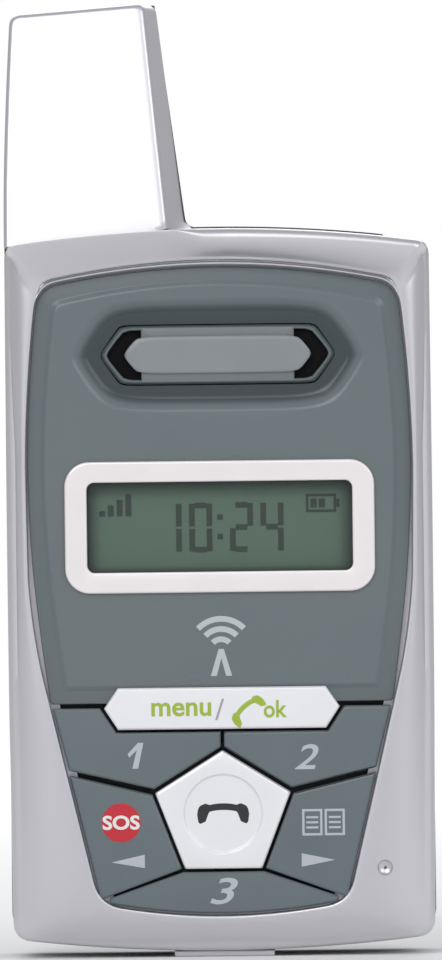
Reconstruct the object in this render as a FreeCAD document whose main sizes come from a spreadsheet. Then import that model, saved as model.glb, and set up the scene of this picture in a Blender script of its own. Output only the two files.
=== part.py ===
import FreeCAD, Part
import math
import os
import Sketcher

# Satellite phone, upright on its foot. +X is to the right of someone facing it,
# -Y points out of its front, +Z is up, and the origin is under its middle.

os.makedirs("parts", exist_ok=True)
document = FreeCAD.newDocument("satellite_phone")
sheet = document.addObject("Spreadsheet::Sheet", "sizes")
nodes = {}


class Size:
    """A length as a number, with the formula that ties it to the sheet."""

    def __init__(self, number, formula):
        self.number = float(number)
        self.formula = formula

    def __add__(self, other):
        other = as_size(other)
        return Size(self.number + other.number, f"({self.formula} + {other.formula})")

    def __sub__(self, other):
        other = as_size(other)
        return Size(self.number - other.number, f"({self.formula} - {other.formula})")

    def __mul__(self, other):
        other = as_size(other)
        return Size(self.number * other.number, f"({self.formula} * {other.formula})")

    def __truediv__(self, other):
        other = as_size(other)
        return Size(self.number / other.number, f"({self.formula} / {other.formula})")

    def __neg__(self):
        return Size(-self.number, f"(0 - {self.formula})")

    def __radd__(self, other):
        return as_size(other) + self

    def __rsub__(self, other):
        return as_size(other) - self

    def __rmul__(self, other):
        return as_size(other) * self


def as_size(thing):
    if isinstance(thing, Size):
        return thing
    return Size(thing, f"({float(thing)!r})")


def root(size):
    return Size(math.sqrt(size.number), f"sqrt({size.formula})")


def size(name, number, meaning):
    """Writes one driving dimension into the sheet and gives it back."""
    size.row += 1
    sheet.set(f"A{size.row}", meaning)
    sheet.set(f"B{size.row}", str(number))
    sheet.setAlias(f"B{size.row}", name)
    return Size(number, f"sizes.{name}")


size.row = 0


# ---------------------------------------------------------------- drawing tools

def node(name, thing):
    """Registers an object as one finished piece of the phone."""
    thing.Label = name
    nodes[name] = thing
    return thing


def circle(u, v, radius):
    return {"centre": (as_size(u), as_size(v)), "radius": as_size(radius)}


def draw_circle(sketch, loop):
    u, v = loop["centre"]
    radius = loop["radius"]
    middle = FreeCAD.Vector(u.number, v.number, 0)
    item = sketch.addGeometry(Part.Circle(middle, FreeCAD.Vector(0, 0, 1), radius.number), False)
    for kind, where in (("DistanceX", u), ("DistanceY", v)):
        index = sketch.addConstraint(Sketcher.Constraint(kind, -1, 1, item, 3, where.number))
        sketch.setExpression(f"Constraints[{index}]", where.formula)
    index = sketch.addConstraint(Sketcher.Constraint("Radius", item, radius.number))
    sketch.setExpression(f"Constraints[{index}]", radius.formula)


def arc_between(start, end, radius):
    """The arc that bulges to the right of the way from start to end."""
    along = end - start
    middle = (start + end) * 0.5
    right = FreeCAD.Vector(along.y, -along.x, 0).normalize()
    to_centre = math.sqrt(radius ** 2 - (along.Length / 2) ** 2)
    top = middle + right * (radius - to_centre)
    return Part.Arc(start, top, end)


def draw_loop(sketch, loop):
    """Draws corners (u, v) joined by lines, or by an arc where a radius follows."""
    if isinstance(loop, dict):
        draw_circle(sketch, loop)
        return
    corners = [tuple(as_size(value) for value in corner) for corner in loop]
    points = [FreeCAD.Vector(corner[0].number, corner[1].number, 0) for corner in corners]
    items = []
    for index, corner in enumerate(corners):
        start = points[index]
        end = points[(index + 1) % len(points)]
        if len(corner) == 3:
            item = sketch.addGeometry(arc_between(start, end, corner[2].number), False)
        else:
            item = sketch.addGeometry(Part.LineSegment(start, end), False)
        turned = (sketch.getPoint(item, 1) - start).Length > 1e-6
        items.append((item, 2 if turned else 1, 1 if turned else 2))
    for index, corner in enumerate(corners):
        item, first, last = items[index]
        following, following_first = items[(index + 1) % len(items)][:2]
        sketch.addConstraint(Sketcher.Constraint("Coincident", item, last, following, following_first))
        for kind, where in (("DistanceX", corner[0]), ("DistanceY", corner[1])):
            pin = sketch.addConstraint(Sketcher.Constraint(kind, -1, 1, item, first, where.number))
            sketch.setExpression(f"Constraints[{pin}]", where.formula)
        if len(corner) == 3:
            bend = sketch.addConstraint(Sketcher.Constraint("Radius", item, corner[2].number))
            sketch.setExpression(f"Constraints[{bend}]", corner[2].formula)


def draw(body, plane, place, loops):
    """A sketch on the body's own origin plane, moved to a place along its axis."""
    sketch = body.newObject("Sketcher::SketchObject", body.Name + "_outline")
    support = [item for item in body.Origin.OriginFeatures if item.Role == plane][0]
    sketch.AttachmentSupport = [(support, "")]
    sketch.MapMode = "FlatFace"
    offset = -as_size(place) if plane == "XZ_Plane" else as_size(place)
    sketch.setExpression(".AttachmentOffset.Base.z", offset.formula)
    for loop in loops:
        draw_loop(sketch, loop)
    return sketch


def new_body(name):
    return node(name, document.addObject("PartDesign::Body", name))


def extrude(body, kind, plane, start, end, loops):
    start, end = as_size(start), as_size(end)
    profile = draw(body, plane, start, loops)
    feature = body.newObject("PartDesign::" + kind, f"{body.Name}_{kind.lower()}")
    feature.Profile = profile
    forward = end.number > start.number
    length = end - start if forward else start - end
    feature.setExpression("Length", length.formula)
    along_normal = forward != (plane == "XZ_Plane")
    feature.Reversed = along_normal if kind == "Pocket" else not along_normal
    return feature


def add(body, start, end, *loops, plane="XZ_Plane"):
    """Material inside the loops from one depth to the other."""
    return extrude(body, "Pad", plane, start, end, loops)


def cut(body, start, end, *loops, plane="XZ_Plane"):
    """Removes what the loops enclose, and checks that something went."""
    document.recompute()
    before = body.Shape.Volume
    feature = extrude(body, "Pocket", plane, start, end, loops)
    document.recompute()
    if not body.Shape.Volume < before - 1e-6:
        raise RuntimeError(f"a cut in {body.Name} takes nothing away")
    return feature


def loft(body, start, end, first, second):
    """Joins two outlines at two depths with straight walls."""
    profile = draw(body, "XZ_Plane", start, [first])
    section = draw(body, "XZ_Plane", end, [second])
    feature = body.newObject("PartDesign::AdditiveLoft", body.Name + "_loft")
    feature.Profile = profile
    feature.Sections = [section]
    feature.Ruled = True
    return feature


def soften(body, kind, radius, wanted):
    """Rounds or bevels the edges that a test picks."""
    document.recompute()
    base = body.Tip
    chosen = [f"Edge{i + 1}" for i, edge in enumerate(base.Shape.Edges) if wanted(edge)]
    if not chosen:
        raise RuntimeError(f"no edge of {body.Name} was picked")
    feature = body.newObject("PartDesign::" + kind, f"{body.Name}_{kind.lower()}")
    feature.Base = (base, chosen)
    feature.setExpression("Radius" if kind == "Fillet" else "Size", as_size(radius).formula)
    document.recompute()
    return feature


def runs_deep_at(places, reach=0.05):
    """Picks the edges that run along Y at any of the (x, z) places."""
    def wanted(edge):
        ends = [vertex.Point for vertex in edge.Vertexes]
        if len(ends) != 2 or abs(ends[0].x - ends[1].x) > 1e-4 or abs(ends[0].z - ends[1].z) > 1e-4:
            return False
        return any(math.hypot(ends[0].x - x.number, ends[0].z - z.number) < reach
                   for x, z in places)
    return wanted


def lies_at_depth(depth, inside=None):
    """Picks the edges that lie wholly at one depth, within a box of x and z."""
    def wanted(edge):
        box = edge.BoundBox
        if abs(box.YMin - depth.number) > 1e-3 or abs(box.YMax - depth.number) > 1e-3:
            return False
        if inside is None:
            return True
        low_x, high_x, low_z, high_z = [as_size(value).number for value in inside]
        return low_x < box.XMin and box.XMax < high_x and low_z < box.ZMin and box.ZMax < high_z
    return wanted


def bind(thing, **formulas):
    for name, value in formulas.items():
        thing.setExpression(name.replace("__", "."), as_size(value).formula)
    return thing


def block(name, x, y, z):
    """A box between pairs of low and high places."""
    box = document.addObject("Part::Box", name)
    low = [as_size(pair[0]) for pair in (x, y, z)]
    high = [as_size(pair[1]) for pair in (x, y, z)]
    bind(box, Length=high[0] - low[0], Width=high[1] - low[1], Height=high[2] - low[2])
    return bind(box, Placement__Base__x=low[0], Placement__Base__y=low[1],
                Placement__Base__z=low[2])


TURN = {"x": FreeCAD.Rotation(FreeCAD.Vector(0, 1, 0), 90),
        "y": FreeCAD.Rotation(FreeCAD.Vector(1, 0, 0), -90),
        "z": FreeCAD.Rotation()}


def rod(name, axis, radius, x, y, z, length):
    """A round bar that starts at x, y, z and runs along the positive axis."""
    bar = document.addObject("Part::Cylinder", name)
    bar.Placement = FreeCAD.Placement(FreeCAD.Vector(), TURN[axis])
    bind(bar, Radius=radius, Height=length)
    return bind(bar, Placement__Base__x=x, Placement__Base__y=y, Placement__Base__z=z)


def less(name, base, tool):
    result = document.addObject("Part::Cut", name)
    result.Base = base
    result.Tool = tool
    return result


def joined(name, first, *others):
    """One solid from pieces that meet."""
    for other in others:
        result = document.addObject("Part::Fuse", name)
        result.Base = first
        result.Tool = other
        first = result
    return first


def group(name, members):
    """Like pieces kept as separate solids in one node."""
    result = document.addObject("Part::Compound", name)
    result.Links = list(members)
    return result


def rectangle(low_x, high_x, low_z, high_z):
    return [(low_x, low_z), (high_x, low_z), (high_x, high_z), (low_x, high_z)]


def arc_radius(half_chord, rise):
    return (half_chord * half_chord + rise * rise) / (2 * rise)


# ---------------------------------------------------------------- driving sizes

# the whole phone
body_width = size("body_width", 46.0, "width of the body")
body_top = size("body_top", 78.75, "height of the crest over the floor")
phone_depth = size("phone_depth", 21.0, "depth from crest to back")
antenna_reach = size("antenna_reach", 24.25, "height of the antenna tip over the crest")
foot_height = size("foot_height", 0.65, "height of the foot under the body")
top_radius = size("top_radius", 160.0, "radius of the top edge")
bottom_radius = size("bottom_radius", 180.0, "radius of the bottom edge")
top_corner = size("top_corner", 1.4, "radius of the upper corners")
bottom_corner = size("bottom_corner", 3.0, "radius of the lower corners")
wall = size("wall", 1.6, "wall of both housings")
gap = size("gap", 0.05, "clearance between pieces that are fixed together")
pack_depth = size("pack_depth", 6.5, "depth of the battery pack")
pack_drop = size("pack_drop", 18.75, "crest down to the top of the battery pack")
floor_depth = size("floor_depth", 3.0, "joint plane back to the battery seat")
bezel_drop = size("bezel_drop", 1.7, "crest back to the front of the bezel")
bezel_fall = size("bezel_fall", 1.6, "fall of the bezel to its outer edge")
ledge_drop = size("ledge_drop", 2.2, "bezel back to the faceplate seat")
ledge_depth = size("ledge_depth", 1.0, "thickness of the faceplate ledge")
board_drop = size("board_drop", 1.4, "ledge back to the main board")
board_thickness = size("board_thickness", 0.8, "thickness of the main board")
antenna_left = size("antenna_left", 1.7, "lean of the antenna's outer side at its tip")
antenna_width = size("antenna_width", 14.9, "width of the antenna at its tip")
antenna_flare = size("antenna_flare", 3.25, "widening of the antenna towards the body")
antenna_bulge = size("antenna_bulge", 154.0, "radius of the antenna's outer side")
tip_fall = size("tip_fall", 1.2, "fall of the tip towards the outer side")
side_bezel = size("side_bezel", 2.25, "narrowest bezel beside the opening")
side_fall = size("side_fall", 2.4, "width of the bezel's fall to the sides")
top_bezel = size("top_bezel", 6.4, "crest down to the opening's upper corners")
waist_drop = size("waist_drop", 31.75, "crest down to the opening's widest point")
shoulder_height = size("shoulder_height", 27.8, "height of the bend in the opening's sides")
opening_foot = size("opening_foot", 5.86, "height of the opening's lower corners")
top_rise = size("top_rise", 2.15, "rise of the opening's upper edge")
bottom_rise = size("bottom_rise", 1.36, "drop of the opening's lower edge")
upper_side = size("upper_side", 161.0, "radius of the opening's upper sides")
lower_side = size("lower_side", 72.0, "radius of the opening's lower sides")
opening_corner = size("opening_corner", 2.4, "radius of the opening's corners")

# front housing
screw_inset = size("screw_inset", 3.7, "outer side in to the housing screws")
screw_low = size("screw_low", 14.5, "height of the lower housing screws")
screw_high = size("screw_high", 6.0, "battery top down to the upper housing screws")
boss_radius = size("boss_radius", 1.9, "radius of the screw bosses")
screw_radius = size("screw_radius", 0.8, "radius of the housing screws")
post_x = size("post_x", 10.5, "board screws out from the middle")
post_low = size("post_low", 1.05, "board's lower edge up to the lower board screws")
post_high = size("post_high", 1.4, "board's upper edge down to the upper board screws")
post_radius = size("post_radius", 1.1, "radius of the board posts")
board_screw_radius = size("board_screw_radius", 0.6, "radius of the board screws")
board_head_radius = size("board_head_radius", 1.1, "radius of the board screw heads")
board_head_depth = size("board_head_depth", 0.6, "thickness of the board screw heads")
antenna_front = size("antenna_front", 5.0, "how far the antenna's face leans back")
antenna_wall = size("antenna_wall", 1.8, "wall of the antenna block")
antenna_draft = size("antenna_draft", 1.9, "draft of the antenna's inner side")
antenna_taper = size("antenna_taper", 0.4, "draft of the antenna's outer side in front")
tip_draft = size("tip_draft", 0.7, "draft of the antenna's tip in front")
mic_x = size("mic_x", 5.6, "outer side in to the microphone")
mic_rise = size("mic_rise", 7.957, "bottom edge up to the microphone")
mic_hole = size("mic_hole", 0.5, "radius of the microphone hole")
foot_width = size("foot_width", 10.8, "width of the foot")
foot_front = size("foot_front", 4.6, "crest back to the front of the foot")
socket_front = size("socket_front", 0.2, "board back to the dock socket")
shroud_margin = size("shroud_margin", 1.2, "shroud in front of the dock socket")

# rear housing
seal_inset = size("seal_inset", 0.55, "outer side in to the seal")
seal_width = size("seal_width", 0.5, "width and depth of the seal")
back_round = size("back_round", 3.2, "radius of the back's long edges")
antenna_back = size("antenna_back", 4.3, "how far the antenna's back leans in")
back_taper = size("back_taper", 1.2, "draft of the antenna's outer side at the back")
back_draft = size("back_draft", 1.0, "extra draft of its inner side at the back")
back_tip_draft = size("back_tip_draft", 0.6, "draft of the antenna's tip at the back")
latch_half = size("latch_half", 6.0, "half the width of the latch button")
latch_height = size("latch_height", 6.5, "height of the latch button")
latch_travel = size("latch_travel", 1.5, "travel of the latch")
latch_depth = size("latch_depth", 0.85, "thickness of the latch button")
latch_tail = size("latch_tail", 1.9, "half the width of the latch's tail")
latch_gap = size("latch_gap", 0.15, "clearance round the latch")
latch_rise = size("latch_rise", 0.9, "battery top up to the latch button")
slot_low = size("slot_low", 1.2, "button's lower edge up to its slot")
slot_high = size("slot_high", 1.5, "button's upper edge down to its slot")
rest_rise = size("rest_rise", 2.2, "latch's travel up to the spring's rest")
rest_height = size("rest_height", 1.4, "height of the spring's rest")
rest_half = size("rest_half", 2.5, "half the width of the spring's rest")
rest_reach = size("rest_reach", 2.8, "reach of the spring's rest")
ringer_x = size("ringer_x", 12.0, "middle out to the ringer")
ringer_drop = size("ringer_drop", 9.5, "crest down to the ringer")
ringer_radius = size("ringer_radius", 6.0, "radius of the ringer")
ringer_depth = size("ringer_depth", 3.2, "thickness of the ringer")
slot_pitch = size("slot_pitch", 1.9, "pitch of the ringer slots")
slot_width = size("slot_width", 0.9, "width of a ringer slot")
port_x = size("port_x", 13.5, "middle out to the test port")
port_radius = size("port_radius", 2.5, "radius of the test port")
floor_skin = size("floor_skin", 1.4, "thickness of the floor under the battery")
head_radius = size("head_radius", 1.5, "radius of the housing screw heads")
head_depth = size("head_depth", 0.9, "depth of the housing screw heads")
drive_radius = size("drive_radius", 0.6, "radius of the housing screws' drive sockets")
card_width = size("card_width", 25.0, "width of the card")
card_height = size("card_height", 15.0, "height of the card")
card_thickness = size("card_thickness", 0.76, "thickness of the card")
card_low = size("card_low", 18.0, "height of the card's lower edge")
card_travel = size("card_travel", 6.0, "slide that frees the card from its holder")
card_gap = size("card_gap", 0.2, "clearance round the card")
holder_lug = size("holder_lug", 2.4, "reach of the card holder past the card")
holder_height = size("holder_height", 5.0, "height of the card holder's upper edge over the card's")
terminal_z = size("terminal_z", 6.5, "battery top down to the battery terminals")
terminal_pitch = size("terminal_pitch", 3.2, "pitch of the battery terminals")
terminal_half = size("terminal_half", 0.8, "half the width of a terminal's slot")
terminal_rise = size("terminal_rise", 2.2, "half the height of a terminal's slot")
peg_x = size("peg_x", 14.0, "middle out to the battery pegs")
peg_z = size("peg_z", 9.0, "height of the battery pegs")
peg_radius = size("peg_radius", 0.9, "radius of the battery pegs")

# faceplate group
rim_thickness = size("rim_thickness", 1.0, "thickness of the faceplate's rim")
panel_rise = size("panel_rise", 0.6, "raised panel over the rim")
panel_inset = size("panel_inset", 2.0, "width of the recessed rim")
seam = size("seam", 0.35, "gap between neighbouring keys")
seam_height = size("seam_height", 27.3, "height of the faceplate's lower edge")
menu_tip = size("menu_tip", 12.7, "middle out to the menu key's tips")
menu_flat = size("menu_flat", 11.2, "middle out to the menu key's flats")
menu_low = size("menu_low", 24.6, "height of the menu key's lower edge")
menu_high = size("menu_high", 29.1, "height of the menu key's upper edge")
menu_middle = size("menu_middle", 26.9, "height of the menu key's tips")
speaker_drop = size("speaker_drop", 13.8, "crest down to the earpiece")
recess_tip = size("recess_tip", 15.5, "middle out to the speaker recess's tips")
recess_flat = size("recess_flat", 11.3, "middle out to the speaker recess's flats")
recess_half = size("recess_half", 5.3, "half the height of the speaker recess")
recess_sink = size("recess_sink", 0.5, "depth of the speaker recess")
slot_tip = size("slot_tip", 12.4, "middle out to the speaker slot's tips")
slot_flat = size("slot_flat", 10.1, "middle out to the speaker slot's flats")
slot_half = size("slot_half", 3.0, "half the height of the speaker slot")
display_drop = size("display_drop", 32.35, "crest down to the middle of the display")
display_width = size("display_width", 33.4, "width of the display bezel")
display_height = size("display_height", 14.2, "height of the display bezel")
window_width = size("window_width", 28.6, "width of the window")
window_height = size("window_height", 9.7, "height of the window")
display_corner = size("display_corner", 2.7, "radius of the display bezel's corners")
window_corner = size("window_corner", 0.8, "radius of the window's corners")
display_rise = size("display_rise", 0.5, "thickness of the display bezel")
bar_half = size("bar_half", 2.0, "half the height of the earpiece bar")
bar_tip = size("bar_tip", 10.4, "middle out to the earpiece bar's tips")
bar_point = size("bar_point", 0.9, "length of the earpiece bar's points")
chevron_tip = size("chevron_tip", 12.0, "middle out to the chevron openings")
chevron_end = size("chevron_end", 8.2, "middle out to the chevron's arm ends")
chevron_half = size("chevron_half", 2.6, "half the height of the chevron openings")
chevron_point = size("chevron_point", 1.2, "width of a chevron's arm")
lens_thickness = size("lens_thickness", 1.0, "thickness of the display lens")

# display module
lcd_width = size("lcd_width", 31.0, "width of the display glass")
lcd_height = size("lcd_height", 12.4, "height of the display glass")
lcd_thickness = size("lcd_thickness", 1.1, "thickness of the display glass")
guide_thickness = size("guide_thickness", 0.7, "thickness of the light guide")
frame_side = size("frame_side", 0.8, "side of the display frame")

# keypad
key_front = size("key_front", 0.45, "bezel back to the grey keys' faces")
key_depth = size("key_depth", 1.85, "thickness of the grey keys")
silver_rise = size("silver_rise", 0.4, "silver keys over the grey keys")
key_travel = size("key_travel", 0.35, "travel of a key")
key_bevel = size("key_bevel", 0.2, "bevel of the keys' front edges")
key_side = size("key_side", 0.25, "gap between the keys and the housing")
plunger_radius = size("plunger_radius", 1.0, "radius of the plungers")
one_x = size("one_x", 9.5, "middle out to the upper plungers")
one_z = size("one_z", 22.4, "height of the upper plungers")
sos_x = size("sos_x", 10.6, "middle out to the side plungers")
sos_z = size("sos_z", 13.2, "height of the side plungers")
three_z = size("three_z", 8.0, "height of the lowest plunger")
mat_thickness = size("mat_thickness", 0.6, "thickness of the keypad mat")
dome_height = size("dome_height", 0.3, "height of a dome over its film")
film_thickness = size("film_thickness", 0.08, "thickness of the dome film")
dome_radius = size("dome_radius", 1.8, "radius of a dome")
end_top = size("end_top", 22.3, "height of the end key's point")
end_wide = size("end_wide", 7.3, "middle out to the end key's shoulders")
end_shoulder = size("end_shoulder", 17.75, "height of the end key's shoulders")
end_narrow = size("end_narrow", 4.15, "middle out to the end key's feet")
end_foot = size("end_foot", 9.55, "height of the end key's feet")
end_middle = size("end_middle", 15.5, "height of the end key's dish")
dish_radius = size("dish_radius", 4.2, "radius of the end key's dish")
dish_depth = size("dish_depth", 0.3, "depth of the end key's dish")
seam_side = size("seam_side", 20.1, "height of the side seams at the opening")

# main board group
board_side = size("board_side", 6.0, "outer side in to the board's edge")
board_low = size("board_low", 0.35, "bottom wall up to the board's corners")
board_high = size("board_high", 0.5, "top wall down to the board's corners")
board_corner = size("board_corner", 3.0, "cut-off of the board's lower corners")
mic_radius = size("mic_radius", 2.0, "radius of the microphone")
mic_margin = size("mic_margin", 0.4, "board's notch round the microphone")
can_depth = size("can_depth", 1.9, "height of the shield cans")
can_skin = size("can_skin", 0.2, "sheet of the shield cans")
processor_low = size("processor_low", 24.0, "height of the processor can's lower edge")
processor_high = size("processor_high", 44.0, "height of the processor can's upper edge")
processor_half = size("processor_half", 14.0, "half the width of the processor can")
radio_left = size("radio_left", 15.0, "middle out to the radio can's outer side")
radio_right = size("radio_right", 2.0, "middle out to the radio can's inner side")
radio_low_drop = size("radio_low_drop", 22.0, "body's top down to the radio can's lower edge")
radio_high_drop = size("radio_high_drop", 9.0, "body's top down to the radio can's upper edge")
chip_height = size("chip_height", 1.0, "thickness of a chip")
backup_radius = size("backup_radius", 3.4, "radius of the backup cell")
backup_thickness = size("backup_thickness", 1.4, "thickness of the backup cell")
backup_drop = size("backup_drop", 7.5, "processor can down to the backup cell")

# sound and shaking
speaker_radius = size("speaker_radius", 5.0, "radius of the earpiece speaker")
motor_z = size("motor_z", 10.5, "height of the vibration motor")
motor_share = size("motor_share", 0.3167, "motor's radius as a share of the space for it")
motor_left = size("motor_left", 4.8, "middle out to the motor's can")
motor_length = size("motor_length", 7.0, "length of the motor's can")
shaft_gap = size("shaft_gap", 2.6, "shaft's length outside the can")
weight_length = size("weight_length", 2.1, "length of the motor's weight")

# antenna group
core_slack = size("core_slack", 0.95, "room round the antenna core")
core_bore = size("core_bore", 1.1, "wall of the antenna core")
core_inset = size("core_inset", 9.4, "left side in to the antenna core")
core_rise = size("core_rise", 1.6, "body's top up to the antenna core")
antenna_board_half = size("antenna_board_half", 5.2, "half the width of the antenna board")
contact_half = size("contact_half", 0.7, "half the width of an antenna contact")
wrap_skin = size("wrap_skin", 0.16, "antenna wrap over its core")
arm_drop = size("arm_drop", 1.4, "board's top down to the antenna contacts")
contact_skin = size("contact_skin", 0.25, "sheet of the antenna contacts")
core_length = size("core_length", 18.5, "length of the antenna core")

# dock connector
socket_half = size("socket_half", 4.2, "half the width of the dock socket")
socket_share = size("socket_share", 0.4167, "dock socket's share of the depth behind the board")
shell_skin = size("shell_skin", 0.3, "sheet of the dock connector's shell")
shell_height = size("shell_height", 5.6, "height of the dock connector")

# battery pack
pack_gap = size("pack_gap", 0.15, "gap between the pack and the housing")
pack_wall = size("pack_wall", 1.2, "wall of the pack's cover")
tray_depth = size("tray_depth", 1.0, "thickness of the pack's tray")
cell_width = size("cell_width", 36.0, "width of the battery cell")
cell_height = size("cell_height", 43.0, "height of the battery cell")
cell_low = size("cell_low", 6.6, "height of the battery cell's lower edge")

# latch
spring_half = size("spring_half", 1.0, "half the width of the folded latch spring")
spring_strip = size("spring_strip", 0.25, "height of the spring's strip")
spring_depth = size("spring_depth", 0.6, "depth of the spring's strip")
document.recompute()

# ---------------------------------------------------------------- overall places


half = body_width / 2
front = -phone_depth / 2
back = phone_depth / 2
antenna_tip = body_top + antenna_reach

seat = back - pack_depth
joint = seat - floor_depth
pack_top = body_top - pack_drop

bezel = front + bezel_drop
ledge = bezel + ledge_drop
cavity = ledge + ledge_depth

board_front = cavity + board_drop
board_back = board_front + board_thickness


def crest_at(x):
    return body_top - top_radius + root(top_radius * top_radius - x * x)


def base_at(x):
    return foot_height + bottom_radius - root(bottom_radius * bottom_radius - x * x)


antenna_root = crest_at(half) - wall - 0.2


def body_outline(inset, low=None, high=None):
    """The body seen from the front, made smaller all round, cut level at low or high."""
    x = half - inset
    if low is None:
        lower = [(-x, base_at(half) + inset, bottom_radius), (x, base_at(half) + inset)]
    else:
        lower = [(-x, low), (x, low)]
    if high is None:
        return lower + [(x, crest_at(half) - inset, top_radius), (-x, crest_at(half) - inset)]
    return lower + [(x, high), (-x, high)]


tip_left = antenna_left - half
tip_right = tip_left + antenna_width
root_right = tip_right + antenna_flare + 0.4


def antenna_outline(inset, right_draft=0.0, tip_draft=0.0):
    """The antenna block from the front, reaching down into the body."""
    return [(-half + inset, antenna_root), (root_right - inset - right_draft, antenna_root),
            (tip_right - inset - right_draft, antenna_tip - inset - tip_draft),
            (tip_left + inset, antenna_tip - tip_fall - inset - tip_draft, antenna_bulge)]


waist_x = half - side_bezel
corner_x = half - 3.55
shoulder_x = half - 4.4
foot_x = half - 9.6
corner_z = body_top - top_bezel
waist_z = body_top - waist_drop


def opening_top(inset):
    """The upper half of the opening's edge, from the right shoulder to the left."""
    x = corner_x - inset
    return [(shoulder_x - inset, shoulder_height, lower_side),
            (waist_x - inset, waist_z, upper_side),
            (x, corner_z - inset, arc_radius(corner_x, top_rise)),
            (-x, corner_z - inset, upper_side),
            (-waist_x + inset, waist_z, lower_side),
            (-shoulder_x + inset, shoulder_height)]


def opening_bottom(inset):
    """The lower edge of the opening, from left to right."""
    x = foot_x - inset
    return [(-x, opening_foot + inset, arc_radius(foot_x, bottom_rise)),
            (x, opening_foot + inset)]


def opening_outline(inset):
    return opening_bottom(inset) + opening_top(inset)


def keypad_outline(inset, top):
    """The part of the opening that the keys fill."""
    x = shoulder_x - inset
    return opening_bottom(inset) + [(x, shoulder_height), (x, top), (-x, top),
                                    (-x, shoulder_height)]


def side_at(z):
    """How far out the opening's lower side stands at a height."""
    climb = (as_size(z) - opening_foot) / (shoulder_height - opening_foot)
    return foot_x + (shoulder_x - foot_x) * climb


def opening_corners(inset):
    upper = [(corner_x - inset, corner_z - inset), (inset - corner_x, corner_z - inset)]
    lower = [(foot_x - inset, opening_foot + inset), (inset - foot_x, opening_foot + inset)]
    return upper, lower


# ---------------------------------------------------------------- front housing

screw_places = [(side * (half - screw_inset), z)
                for side in (-1, 1) for z in (screw_low, pack_top - screw_high)]

board_x = half - board_side
board_low_z = base_at(board_x - board_corner) + wall + board_low
board_top_z = crest_at(board_x) - wall - board_high
post_places = [(side * post_x, z) for side in (-1, 1)
               for z in (board_low_z + post_low, board_top_z - post_high)]

mic_z = base_at(half - mic_x) + mic_rise
shroud_front = board_back + socket_front - shroud_margin
foot_half = foot_width / 2

front_housing = new_body("front_housing")
add(front_housing, joint, front, body_outline(0.0))
loft(front_housing, joint, front, antenna_outline(0.0),
     antenna_outline(antenna_taper, antenna_draft, tip_draft))
soften(front_housing, "Fillet", bottom_corner,
       runs_deep_at([(half, base_at(half)), (-half, base_at(half))]))
soften(front_housing, "Fillet", top_corner, runs_deep_at([(half, crest_at(half))]))
cut(front_housing, -half - 5, half + 5,
    [(front - 5, -2), (bezel + bezel_fall, base_at(0.0 * half)), (bezel, opening_foot - 1.2),
     (bezel, corner_z + 1.0), (front, body_top - 1.0), (front, body_top - 0.3),
     (front + antenna_front, antenna_tip + 1), (front - 5, antenna_tip + 1)],
    plane="YZ_Plane")
for side in (-1, 1):
    slope = [(side * (half - side_bezel), bezel), (side * half, bezel + bezel_fall),
             (side * (half + 3), bezel + bezel_fall), (side * (half + 3), front - 3),
             (side * (half - side_bezel - side_fall), front - 3),
             (side * (half - side_bezel - side_fall), front)]
    cut(front_housing, -2, antenna_tip + 2, slope, plane="XY_Plane")
cut(front_housing, front - 1, ledge, opening_outline(0.0))
cut(front_housing, ledge - 0.1, cavity + 0.1, opening_outline(1.0))
cut(front_housing, ledge - 0.1, cavity + 0.1, keypad_outline(0.0, menu_high + 0.5))
cut(front_housing, joint, cavity, body_outline(wall))
cut(front_housing, joint, front + antenna_front + wall + 0.2, antenna_outline(antenna_wall))
for x, z in screw_places:
    add(front_housing, cavity - 0.1, joint, circle(x, z, boss_radius))
for x, z in screw_places:
    cut(front_housing, joint, board_back - 0.5, circle(x, z, screw_radius + 0.02))
for x, z in post_places:
    add(front_housing, cavity - 0.1, board_front, circle(x, z, post_radius))
for x, z in post_places:
    cut(front_housing, board_front, cavity - 0.8, circle(x, z, board_screw_radius + 0.02))
cut(front_housing, bezel - 1, cavity + 1, circle(half - mic_x, mic_z, mic_hole))
cut(front_housing, -1, wall + 3, rectangle(-foot_half - gap, foot_half + gap,
                                           shroud_front - gap, joint + 1), plane="XY_Plane")

# ---------------------------------------------------------------- rear housing

terminal_count = 4

latch_low = pack_top + latch_rise
latch_high = latch_low + latch_height
recess_floor = back - latch_depth - 0.2
ringer_z = body_top - ringer_drop
card_back = seat - 0.3
card_front = card_back - card_thickness
card_floor = card_front - 0.04
bay_ceiling = pack_top + 1.6
terminal_height = pack_top - terminal_z


def round_back(body, high):
    """Rounds both long edges of the back with an arc."""
    inner, outer = half - back_round, half + 3
    low = back - back_round
    cut(body, -2, high + 2, [(half, low, back_round), (inner, back), (inner, back + 3),
                             (outer, back + 3), (outer, low)], plane="XY_Plane")
    cut(body, -2, high + 2, [(-inner, back, back_round), (-half, low), (-outer, low),
                             (-outer, back + 3), (-inner, back + 3)], plane="XY_Plane")


rear_housing = new_body("rear_housing")
add(rear_housing, joint, back, body_outline(0.0))
loft(rear_housing, joint, back, antenna_outline(0.0),
     antenna_outline(back_taper, back_draft, back_tip_draft))
soften(rear_housing, "Fillet", bottom_corner,
       runs_deep_at([(half, base_at(half)), (-half, base_at(half))]))
soften(rear_housing, "Fillet", top_corner, runs_deep_at([(half, crest_at(half))]))
cut(rear_housing, -half - 5, half + 5,
    [(back, body_top), (back + 5, body_top), (back + 5, antenna_tip + 1),
     (back - antenna_back, antenna_tip + 1)], plane="YZ_Plane")
round_back(rear_housing, antenna_tip)
cut(rear_housing, root_right + 1.0, half + 5,
    [(back, body_top - back_round, back_round), (back - back_round, body_top),
     (back - back_round, body_top + 3), (back + 3, body_top + 3),
     (back + 3, body_top - back_round)], plane="YZ_Plane")
cut(rear_housing, -half - 5, half + 5,
    [(seat, -5), (back + 5, -5), (back + 5, pack_top), (seat, pack_top)], plane="YZ_Plane")
cut(rear_housing, joint, seat - floor_skin, body_outline(wall, high=bay_ceiling + 0.1))
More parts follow.
